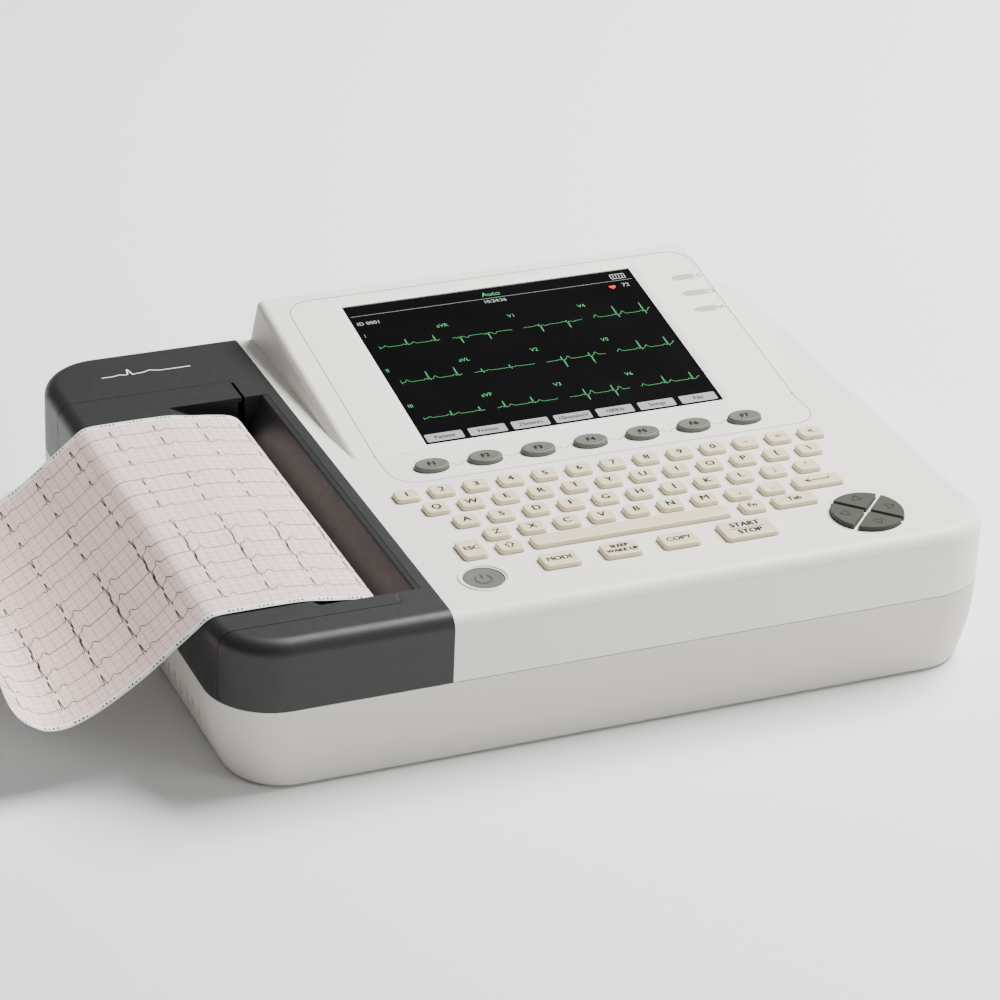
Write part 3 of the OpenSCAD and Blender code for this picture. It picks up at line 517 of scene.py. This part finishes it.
# %% Key legends
rows = {
    "number_keys": ["1", "2", "3", "4", "5", "6", "7", "8", "9", "0", "-", "=", "<"],
    "top_letter_keys": list("QWERTYUIOP[") + ["\\"],
    "home_letter_keys": list("ASDFGHJKL;") + ["'"],
    "low_letter_keys": list("ZXCVBNM,."),
    "escape_key": ["ESC"], "tab_key": ["Tab"], "function_key": ["Fn"], "mode_key": ["MODE"],
    "sleep_key": ["SLEEP", "WAKE UP"], "copy_key": ["COPY"], "start_key": ["START", "STOP"],
    "soft_keys": ["F%d" % i for i in range(1, 8)],
}
two_lines = {"start_key": (0.0036, 0.0056), "sleep_key": (0.0023, 0.0040)}  # half the line step, letter size
HOLLOW = 0.0001  # the middle of a cap lies this far under its rim, print included
for node, texts in rows.items():
    keys = centres[node]
    short = max(map(len, texts)) <= 1
    size = 0.0066 if short else 0.0052
    if node in two_lines:
        step, size = two_lines[node]
        spots = [(t, [keys[0, 0], keys[0, 1] + s * step, CAP + INK]) for t, s in zip(texts, (1, -1))]
    else:
        order = keys[np.argsort(keys[:, 0])]
        spots = [(t, [k[0], k[1], CAP - HOLLOW]) for t, k in zip(texts, order)]
    words = [(t, at, size, X, Y, "CENTER") for t, at in spots]
    letters(node + "_print", words, key_ink, node, 0.00028)
start = centres["start_key"][0]
bar = np.array([[start[0] - 0.011, start[1]], [start[0] + 0.011, start[1]]])
ribbons("start_key_bar", [np.column_stack([bar, [CAP - INK] * 2])], [0, 0, 1], 0.0003, key_ink,
        "start_key")
arrows = {  # corners in millimetres from the middle of the cap
    "enter_key": [[7, 2.2], [7, 0], [-7, 0], [-4, 1.6], [-7, 0], [-4, -1.6]],
    "shift_key": [[-1.1, -2.4], [1.1, -2.4], [1.1, 0], [2.6, 0], [0, 2.8], [-2.6, 0], [-1.1, 0],
                  [-1.1, -2.4]],
}
for node, shape in arrows.items():
    centre, shape = centres[node][0, :2], np.array(shape) / 1000
    strokes = [np.column_stack([centre + np.linspace(p, q, 3), [CAP - INK] * 3])
               for p, q in zip(shape, shape[1:])]
    ribbons(node + "_print", strokes, [0, 0, 1], 0.0005, key_ink, node)
print("legends on", len(rows) + len(arrows), "keys and rows")

# %% [markdown]
# ## Power button and cursor pad
# A low ring stands round the power button, a torus flattened onto the deck. Its symbol is an open
# circle with a bar. The cursor keys carry open triangles that point outwards.

# %% Power ring, symbol and arrows
RING_R, RING_W, RING_H = 0.0124, 0.0009, 0.0007  # the ring's radius, half its width, and its height
AROUND, TUBE = 64, 12  # points round the ring, and round its section
px, py = centres["power_button"][0, :2]
turn = np.linspace(0, 2 * np.pi, AROUND + 1)[:-1]
tube = np.linspace(0, 2 * np.pi, TUBE + 1)[:-1]
big, small = np.meshgrid(turn, tube, indexing="ij")
reach = RING_R + RING_W * np.cos(small)
torus = np.stack([px + reach * np.cos(big), py + reach * np.sin(big), DECK + RING_H * np.sin(small)], -1)
i, j = np.meshgrid(np.arange(AROUND), np.arange(TUBE), indexing="ij")
i2, j2 = (i + 1) % AROUND, (j + 1) % TUBE
quads = np.stack([i * TUBE + j, i2 * TUBE + j, i2 * TUBE + j2, i * TUBE + j2], -1).reshape(-1, 4)
put("power_ring", torus, quads, deck_white, "case")

SIGN_R = 0.0042  # the symbol's open circle, which leaves 76 degrees free for its bar
top = high["power_button"][2] - 0.00025
arc = np.radians(np.linspace(128, 412, 40))
symbol = [np.stack([px + SIGN_R * np.cos(arc), py + SIGN_R * np.sin(arc), np.full(40, top)], -1),
          np.array([[px, py + 0.0012, top], [px, py + 0.0056, top]])]
ribbons("power_symbol", symbol, [0, 0, 1], 0.0009, symbol_ink, "power_button")

TIP, FOOT, HALF = 0.0155, 0.0112, 0.003  # a triangle's tip and foot from the pad's middle, half its width
cx = (low["cursor_left"][0] + high["cursor_right"][0]) / 2
cy = (low["cursor_down"][1] + high["cursor_up"][1]) / 2
for name, angle in {"cursor_up": 90, "cursor_left": 180, "cursor_down": 270, "cursor_right": 0}.items():
    a = np.radians(angle)
    ahead, aside = np.array([np.cos(a), np.sin(a)]), np.array([-np.sin(a), np.cos(a)])
    loop = np.array([ahead * TIP, ahead * FOOT + aside * HALF, ahead * FOOT - aside * HALF, ahead * TIP])
    path = np.concatenate([np.linspace(p, q, 3)[:-1] for p, q in zip(loop, loop[1:])] + [loop[-1:]])
    path = np.column_stack([path + [cx, cy], np.full(len(path), CAP + INK)])
    ribbons(name + "_print", [path], [0, 0, 1], 0.00055, key_ink, name)
print("cursor pad at", round(cx, 4), round(cy, 4))

# %% [markdown]
# ## Lines on the panel
# A fine groove line runs round the whole panel, up the sloping face and down on to the deck, with
# round corners. A short wavy line links each softkey to the next. The paths are worked out flat, then
# folded along the foot of the slope: what lies behind that line goes on to the face.

# %% Panel lines
climb = SCREEN[2] + WALL * np.cos(TILT) - DECK  # how far the slope rises from its foot to the window's line
FOLD = SCREEN[1] - climb / np.tan(TILT) - WALL * np.sin(TILT)
fold_s = -climb / np.sin(TILT)


def folded(path, h=LINE):
    """Lay a flat path on the panel: y is the distance from the foot of the slope, level in front of it."""
    path = np.asarray(path, float)
    level = on_deck(path[:, 0], FOLD + path[:, 1], h)
    slope = on_face(path[:, 0], fold_s + path[:, 1], h)
    return np.where(path[:, 1:] < 0, level, slope)


def fold_normal(path):
    """The surface's own direction under each point of a folded path."""
    return np.where(path[:, 1:2] < FOLD, [0.0, 0, 1], OUT)


def dense(outline, step=0.002):
    """The same path with points no further apart than step."""
    parts = [np.linspace(p, q, max(2, int(np.hypot(*(q - p)) / step)), endpoint=False)
             for p, q in zip(outline, outline[1:])]
    return np.concatenate(parts + [outline[-1:]])


frame_w, frame_d, frame_r = 0.2425, 0.178, 0.014
shift = np.array([0.0508, 0.0575])  # the panel line's middle, from the foot of the slope
outline = rounded(frame_w, frame_d, frame_r) + shift
outline = dense(np.concatenate([outline, outline[:1]]))
soft = centres["soft_keys"][np.argsort(centres["soft_keys"][:, 0])]
bend = np.linspace(0, 1, 40)
SHORT, SWING = 0.0012, 0.0016  # a link stops this far from its keys, and swings this far each way
waves = [np.column_stack([a[0] + a[2] / 2 + SHORT + bend * (b[0] - a[0] - a[2] - 2 * SHORT),
                          a[1] - FOLD + SWING * np.cos(bend * 2 * np.pi)]) for a, b in zip(soft, soft[1:])]
ribbons("panel_line", [folded(outline)], fold_normal, 0.0005, line_ink, "case")
links = [folded(wave) for wave in waves]
ribbons("softkey_line", links, fold_normal, 0.00045, line_ink, "case")
print("foot of the slope at y =", round(FOLD, 4))

# %% [markdown]
# ## A heartbeat in numbers
# One beat is five smooth bumps: a low P wave, the sharp Q, R and S of the ventricles, and a broad T.
# Each is a bell curve with a height, a time and a width. The twelve leads see the same beat from
# different sides, so they share the times and change the heights.

# %% The beat
WAVES = np.array([[0.16, 0.022], [0.235, 0.008], [0.255, 0.010], [0.277, 0.009], [0.44, 0.036]])
LEADS = {
    "I": [0.10, -0.05, 0.70, -0.12, 0.20], "II": [0.14, -0.06, 1.00, -0.16, 0.28],
    "III": [0.08, -0.08, 0.50, -0.10, 0.14], "aVR": [-0.12, 0.05, -0.80, 0.10, -0.22],
    "aVL": [0.05, -0.04, 0.35, -0.20, 0.10], "aVF": [0.11, -0.07, 0.75, -0.12, 0.20],
    "V1": [0.08, 0.02, 0.25, -0.85, -0.10], "V2": [0.09, 0.02, 0.45, -1.00, 0.35],
    "V3": [0.09, -0.02, 0.75, -0.75, 0.38], "V4": [0.10, -0.06, 1.15, -0.45, 0.35],
    "V5": [0.10, -0.08, 1.05, -0.22, 0.30], "V6": [0.10, -0.08, 0.85, -0.12, 0.24],
}


def beat(lead, seconds, period=0.8):
    """Height of a lead's trace at each time: the sum of height * exp(-(t - time)^2 / 2 width^2)."""
    t = np.mod(seconds, period)[:, None]
    heights = np.array(LEADS[lead])
    noise = 0.008 * np.sin(seconds * 61.0) + 0.006 * np.sin(seconds * 23.0 + heights[2] * 9)
    return (heights * np.exp(-((t - WAVES[:, 0]) ** 2) / (2 * WAVES[:, 1] ** 2))).sum(1) + noise


print("peak of lead II:", round(float(beat("II", np.linspace(0, 0.8, 400)).max()), 2))

# %% [markdown]
# ## The picture on the screen
# The display is lit from behind, so its picture gives light: green traces and words, a red heart
# and grey softkey labels. Every part is a real strip or letter just above the black window.

# %% Screen picture
def glow(name, colour, strength):
    """A colour of the lit display: it shines by itself, a little unevenly, as a backlight does."""
    f = Finish(name, roughness=0.3)
    half, less = tuple(c * 0.5 for c in colour), tuple(c * 0.4 for c in colour)
    f.set("Base Color", f.mix(f.noise(120.0), half, less))
    f.set("Emission Color", f.mix(f.noise(30.0), colour, tuple(c * 0.88 for c in colour)))
    f.set("Emission Strength", strength)
    return f.material


trace_green = glow("trace_green", (0.06, 0.40, 0.13), 1.0)
word_white = glow("word_white", (0.50, 0.54, 0.52), 0.8)
heart_red = glow("heart_red", (0.95, 0.03, 0.02), 1.0)
label_grey = glow("label_grey", (0.42, 0.44, 0.44), 0.7)
label_dark = ink("label_dark", (0.01, 0.012, 0.02), 0.4)
LIT = -WALL + 0.00012  # the picture lies a tenth of a millimetre over the window


def on_screen(x, s, h=0.0):
    """Points on the picture: x and s from the middle of the screen."""
    return on_face(SCREEN[0] + np.asarray(x), np.asarray(s), LIT + np.asarray(h))


half_w, half_h = 0.0845, 0.0630  # half the picture's width and height
column, row_gap, first_row = 2 * half_w / 4, 0.0335, 0.0245
SWEEP, PEAK = 0.0205, 0.0078  # metres per second, and metres per unit of height
traces, names = [], []
for k, lead in enumerate(LEADS):
    col, row = k // 3, k % 3
    left_end = -half_w + col * column
    x = np.linspace(left_end + 0.0055, left_end + column - 0.0015, 260)
    middle = first_row - row * row_gap
    t = (x + half_w) / SWEEP + 0.1 * col
    traces.append(on_screen(x, middle + beat(lead, t) * PEAK))
    names.append((lead, on_screen(left_end + 0.001, middle + 0.0125), 0.0042, X, UP, "LEFT"))
ribbons("screen_traces", traces, OUT, 0.00028, trace_green, "case")
letters("screen_lead_names", names, trace_green, "case")

words = [("Auto", on_screen(0.0, half_h - 0.0032), 0.0054, X, UP, "CENTER")]
letters("screen_title", words, trace_green, "case")
words = [("10:24:36", on_screen(0.0, half_h - 0.0100), 0.0040, X, UP, "CENTER"),
         ("ID 0001", on_screen(-half_w + 0.001, half_h - 0.0145), 0.0042, X, UP, "LEFT"),
         ("72", on_screen(0.0765, half_h - 0.0120), 0.0046, X, UP, "LEFT")]
letters("screen_words", words, word_white, "case")
rule = [on_screen(np.linspace(-half_w, half_w, 2), np.full(2, half_h - 0.0070))]
ribbons("screen_rule", rule, OUT, 0.0002, word_white, "case")

label_w, label_d = 0.0212, 0.0068
label_x = -half_w + label_w / 2 + np.arange(7) * (2 * half_w - label_w) / 6
outline = rounded(label_w, label_d, 0.0008, 4)
label_s = -half_h + label_d / 2
flat = on_screen(label_x[:, None] + outline[:, 0], label_s + outline[None, :, 1])
faces = (np.arange(7)[:, None] * len(outline) + np.arange(len(outline))).tolist()
put("screen_labels", flat, faces, label_grey, "case", smooth=False)
texts = ["Patient", "Freeze", "25mm/s", "10mm/mV", "100Hz", "Setup", "File"]
words = [(t, on_screen(x, label_s, LINE), 0.0043, X, UP, "CENTER") for t, x in zip(texts, label_x)]
letters("screen_label_words", words, label_dark, "case", 0.00022)

a = np.linspace(0, 2 * np.pi, 60, endpoint=False)
heart = np.column_stack([16 * np.sin(a) ** 3,
                         13 * np.cos(a) - 5 * np.cos(2 * a) - 2 * np.cos(3 * a) - np.cos(4 * a)])
heart = heart[::-1] * 0.00013 + [0.0705, half_h - 0.0125]
points = on_screen(heart[:, 0], heart[:, 1])
put("screen_heart", points, [list(range(60))], heart_red, "case", smooth=False)
cell = rounded(0.0085, 0.0042, 0.0005, 3)
cell_x, cell_s = 0.0775, half_h - 0.003
ring = np.concatenate([cell, cell[:1]]) + [cell_x, cell_s]
bars = [on_screen(ring[:, 0], ring[:, 1])]
bars += [on_screen(np.full(2, cell_x - 0.0027 + i * 0.0018), cell_s + np.array([-0.0013, 0.0013]))
         for i in range(4)]
ribbons("screen_battery", bars, OUT, 0.0005, word_white, "case")
print("screen picture:", 2 * half_w, "by", 2 * half_h, "m")

# %% [markdown]
# ## Chart paper
# Chart paper comes off a roll and keeps some of that curl: it climbs out of the slot, lies over the
# door, dips over the edge and turns up at its free end. The same curve as the CAD strip carries it,
# finer, and the hanging part wavers a little across its width, as loose paper does. Its own UV map
# measures metres along and across, so the grid stays printed on the paper when it bends.

# %% The chart's curve
RAMP, AXIS = 19, 27.1  # the ramp's depth and the platen's axis, in millimetres under the recorder's top
curve = np.array([  # millimetres left of the slot, and above the recorder's top
    [0, 2 - RAMP], [0.9, 6.4 - RAMP], [3, 10 - RAMP], [6, 12.8 - RAMP], [10.8, -4.2], [20, -2.6],
    [30, -1.3], [42, 0.5], [55, 0.9], [75, 0.9], [86.8, 0.6], [91.8, -0.9], [96.8, -4.9], [103, -10],
    [111, -16.5], [121.8, -25.5], [133.8, -34], [144.8, -40.8], [154.8, -45.7], [164, -48.3],
    [173, -47.7], [181, -43.3], [186.6, -38], [190.9, -31], [194, -23], [196, -15]]) / 1000
paper_x = high["chart_paper"][0] - 0.0002
side = low["chart_paper"][1], high["chart_paper"][1]


def through(points, per=7):
    """A smooth curve through points: a cubic on each stretch, whose ends take their neighbours' slope."""
    p = np.concatenate([points[:1], points, points[-1:]])
    t = np.linspace(0, 1, per, endpoint=False)[:, None]
    parts = [0.5 * (2 * b + (c - a) * t + (2 * a - 5 * b + 4 * c - d) * t**2
                    + (3 * b - a - 3 * c + d) * t**3) for a, b, c, d in zip(p, p[1:], p[2:], p[3:])]
    return np.concatenate(parts + [points[-1:]])


line = through(curve)
line = np.column_stack([paper_x - line[:, 0], REC + line[:, 1]])
line = np.concatenate([[[paper_x, REC - AXIS / 1000]], line])
travel = np.concatenate([[0], np.cumsum(np.hypot(*np.diff(line, axis=0).T))])
LENGTH = float(travel[-1])
WIDTH = float(side[1] - side[0])
print("chart: %.1f mm wide, %.1f mm long" % (WIDTH * 1000, LENGTH * 1000))


def chart(s, t, lift=0.0):
    """A point of the chart: s metres along its curve, t metres from its front edge, lift off its face."""
    s, t, lift = np.broadcast_arrays(s, t, lift)
    x, z = np.interp(s, travel, line[:, 0]), np.interp(s, travel, line[:, 1])
    step = 0.0008
    dx = np.interp(s + step, travel, line[:, 0]) - np.interp(s - step, travel, line[:, 0])
    dz = np.interp(s + step, travel, line[:, 1]) - np.interp(s - step, travel, line[:, 1])
    size = np.hypot(dx, dz) + 1e-12
    free = np.clip((s - 0.135) / 0.08, 0, 1) ** 2
    sway = free * (0.0012 * np.sin(t * 31.0 + 0.6) + 0.0006 * np.sin(t * 67.0))
    off = lift + sway
    return np.stack([x + dz / size * off, side[0] + t, z - dx / size * off], -1)


# %% [markdown]
# The print is part of the paper's surface: a fine pink grid of 1 mm squares with a stronger line each
# 5 mm, inside white margins. A stripe is where the fraction of a coordinate lies near a whole number.

# %% Chart finish
f = Finish("chart_paper", roughness=0.62)
uv = f.node("UVMap", {"uv_map": "UVMap"})
split = f.node("SeparateXYZ", None, {0: uv})
along, across = split, Value(f, split.socket.node.outputs[1])


def stripes(value, pitch, width):
    """1 on lines of that width at each pitch, 0 between them."""
    return abs((value / pitch + 0.5).fraction() - 0.5) < width / pitch / 2


MARGIN = 0.0045
fine = stripes(along, 0.001, 0.00018) + stripes(across, 0.001, 0.00018)
bold = stripes(along, 0.005, 0.0005) + stripes(across, 0.005, 0.0005)
inside = (across > MARGIN) * (across < WIDTH - MARGIN)
tint = (fine * 0.38 + bold * 0.62) * inside
clamp = f.node("Clamp", None, {"Value": tint, "Min": 0.0, "Max": 0.95})
fibre = f.noise(500.0, 4.0, 0.6)
paper_tone = f.mix(fibre, (0.88, 0.86, 0.845), (0.84, 0.815, 0.80))
warm = f.mix(inside * 0.5, paper_tone, (0.86, 0.65, 0.58))
f.set("Base Color", f.mix(clamp, warm, (0.62, 0.26, 0.20)))
f.bump(fibre, 0.12, 0.0001)
chart_paper = f.material
chart_edge = ink("chart_black", (0.022, 0.02, 0.02), 0.6)

LONG, WIDE = 190, 60  # points along the chart and across it
s_grid, t_grid = np.meshgrid(np.linspace(0, LENGTH, LONG), np.linspace(0, WIDTH, WIDE), indexing="ij")
points = chart(s_grid, t_grid)
i, j = np.meshgrid(np.arange(LONG - 1), np.arange(WIDE - 1), indexing="ij")
here, ahead = i * WIDE + j, (i + 1) * WIDE + j
quads = np.stack([here, here + 1, ahead + 1, ahead], -1).reshape(-1, 4)
sheet = put("chart_sheet", points, quads, chart_paper, "door",
            uv=np.stack([s_grid.ravel(), t_grid.ravel()], -1))
back = Finish("chart_back", roughness=0.65)  # the grid is printed on one side only
back.set("Base Color", back.mix(back.noise(500.0, 4.0, 0.6), (0.86, 0.845, 0.83), (0.82, 0.80, 0.785)))
sheet.data.materials.append(back.material)
thick = sheet.modifiers.new("Thickness", "SOLIDIFY")
thick.thickness, thick.offset = 0.00012, -1.0
thick.material_offset, thick.material_offset_rim = 1, 1
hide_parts("chart_paper")

# %% [markdown]
# Twelve leads are printed side by side along the feed, with short marks in fours along both margins.
# They are laid on the paper by the same function that shaped it, a few hundredths of a millimetre
# above its face. Every lead shows the same beats, so their tall strokes line up across the paper.

# %% Print on the chart
shown = np.linspace(0.012, LENGTH - 0.002, 1500)
lead_t = WIDTH - 0.016 - np.arange(12) * (WIDTH - 0.032) / 11
TALL, FEED = 0.0105, 0.030  # metres per unit of height, and metres per second
paths = [chart(shown, t + TALL * beat(lead, (LENGTH - shown) / FEED), INK)
         for t, lead in zip(lead_t, LEADS)]


def chart_normal(path):
    """The chart's upward face under each point of a path that was laid on it."""
    flat = np.column_stack([path[:, 0], path[:, 2]])
    s = travel[((flat[:, None] - line[None]) ** 2).sum(-1).argmin(1)]
    return chart(s, path[:, 1] - side[0], 0.001) - chart(s, path[:, 1] - side[0], 0.0)


traces = ribbons("chart_traces", paths, chart_normal, 0.00045, chart_edge, "door")
EDGE = 0.0012  # white paper outside the marks
ticks = []
for k, s in enumerate(np.arange(0.03, LENGTH - 0.004, 0.0022)):
    if k % 7 < 4:  # four short marks, then a gap, all along both margins
        long = rng.uniform(0.0011, 0.0019)
        mark = np.linspace(0, long, 3) + EDGE
        ticks.append(chart(np.full(3, s), mark, INK))
        ticks.append(chart(np.full(3, s), WIDTH - mark[::-1], INK))
marks = ribbons("chart_ticks", ticks, chart_normal, 0.0008, chart_edge, "door")
print("traces", len(paths), "ticks", len(ticks))

# %% [markdown]
# The paper inside the machine, on the roll and on its way to the platen, is the same stock without
# a printed trace. Its edges show as fine rings, one per turn, so its finish is drawn from the
# distance to the roll's own axis.

# %% Paper on the roll
f = Finish("roll_paper", roughness=0.7)
axis = (low["chart_roll"] + high["chart_roll"]) / 2
centred = f.node("VectorMath", {"operation": "SUBTRACT"}, {0: f.place(), 1: tuple(axis)})
flat = f.node("VectorMath", {"operation": "MULTIPLY"}, {0: centred, 1: (1.0, 0.0, 1.0)})
radius = f.node("VectorMath", {"operation": "LENGTH"}, {0: flat}, out="Value")
turns = stripes(radius, 0.0006, 0.00015)
f.set("Base Color", f.mix(turns * 0.5, (0.80, 0.68, 0.655), (0.66, 0.50, 0.48)))
f.bump(turns, 0.1, 0.0001)
for name in ("chart_roll", "paper_web"):
    soften(name, f.material, bevel=False)

# %% [markdown]
# ## Small marks
# Icons stand beside the three lights: a plug, a battery cell and a wave. A plain pulse line on the
# recorder's back stands where such machines carry a badge, drawn here as a generic sign.

# %% Icons and the pulse sign
lights_x = (low["status_lights"][0] + high["status_lights"][0]) / 2
light_s = np.array([88, 104, 120]) / 1000 - 0.073
icons = []
at = lights_x + 0.0098
for prong in (0.0014, -0.0014):
    bent = np.array([0, 0, prong, prong])
    icons.append(on_face(at + np.array([-0.002, 0.0, 0.0, 0.002]), light_s[2] + bent, LINE))
box = rounded(0.0046, 0.0026, 0.0004, 3)
box = np.concatenate([box, box[:1]])
icons.append(on_face(at + box[:, 0], light_s[1] + box[:, 1], LINE))
w = np.linspace(-0.0024, 0.0024, 24)
icons.append(on_face(at + w, light_s[0] + 0.0011 * np.sin(w / 0.0024 * np.pi * 1.5), LINE))
ribbons("light_icons", icons, OUT, 0.0005, key_ink, "case")

s = np.linspace(0, 0.05, 260)
pulse = np.column_stack([-0.178 + s, 0.1355 + 0.0062 * beat("II", s / 0.0625), np.full(260, REC + LINE)])
ribbons("pulse_sign", [pulse], [0, 0, 1], 0.0007, pale_ink, "case")

# %% [markdown]
# ## Floor, light and camera
# Soft light from a large panel high on the right, a weaker one at the front right, and a pale floor
# that runs up to the horizon, so that the top is brightest and the left side lies in shade. The
# camera is a long lens two metres away, turned a little on its own axis.

# %% Floor and lights
def plain(name, colour, rough):
    f = Finish(name)
    f.set("Base Color", f.mix(f.noise(1.5), colour, tuple(c * 0.985 for c in colour)))
    f.set("Roughness", rough)
    return f.material


bpy.ops.mesh.primitive_plane_add(size=14, location=(0, 0, 0))
floor = bpy.context.object
floor.name = "studio_floor"
floor.data.materials.append(plain("studio_floor", (0.93, 0.93, 0.925), 0.7))
floor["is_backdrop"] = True

world = bpy.data.worlds.new("studio")
bpy.context.scene.world = world
world.use_nodes = True
world.node_tree.nodes["Background"].inputs[0].default_value = (1.0, 1.0, 1.0, 1.0)
world.node_tree.nodes["Background"].inputs[1].default_value = 0.26


def panel(name, where, size, power, look=(0, 0, 0.05)):
    """A square soft light at where, turned to look at a point."""
    light = bpy.data.lights.new(name, "AREA")
    light.size, light.energy = size, power
    lamp = bpy.data.objects.new(name, light)
    lamp.location = where
    lamp.rotation_euler = Vector(np.array(where) - np.array(look)).to_track_quat("Z", "Y").to_euler()
    bpy.context.collection.objects.link(lamp)


panel("key_light", (1.3, 0.35, 2.1), 1.4, 185)
panel("front_light", (1.6, -1.9, 1.0), 0.9, 16)

# %% Camera
az, el, roll = np.radians([-23.7255, 27.8864, 2.5523])
back = np.array([np.sin(az) * np.cos(el), -np.cos(az) * np.cos(el), np.sin(el)])
right = np.cross([0, 0, 1], back)
right /= np.linalg.norm(right)
up = np.cross(back, right)
cam_x = np.cos(roll) * right + np.sin(roll) * up
cam_y = -np.sin(roll) * right + np.cos(roll) * up
eye = np.stack([cam_x, cam_y, back]).T @ np.array([0.001344, 0.039359, 2.03367]) + [0, 0, 0.0015]
lens = bpy.data.cameras.new("camera")
lens.sensor_width, lens.lens = 36.0, 136.6308
lens.clip_start, lens.clip_end = 0.05, 50
camera = bpy.data.objects.new("camera", lens)
turned = np.eye(4)
turned[:3] = np.column_stack([cam_x, cam_y, back, eye])
camera.matrix_world = Matrix(turned.tolist())
bpy.context.collection.objects.link(camera)
bpy.context.scene.camera = camera
print("camera at", eye.round(3))

# %% Sizes, and the end
new_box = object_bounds()
for name, box in (("cad", cad_box), ("model", new_box)):
    print(name, [tuple(round(v, 3) for v in c) for c in box])
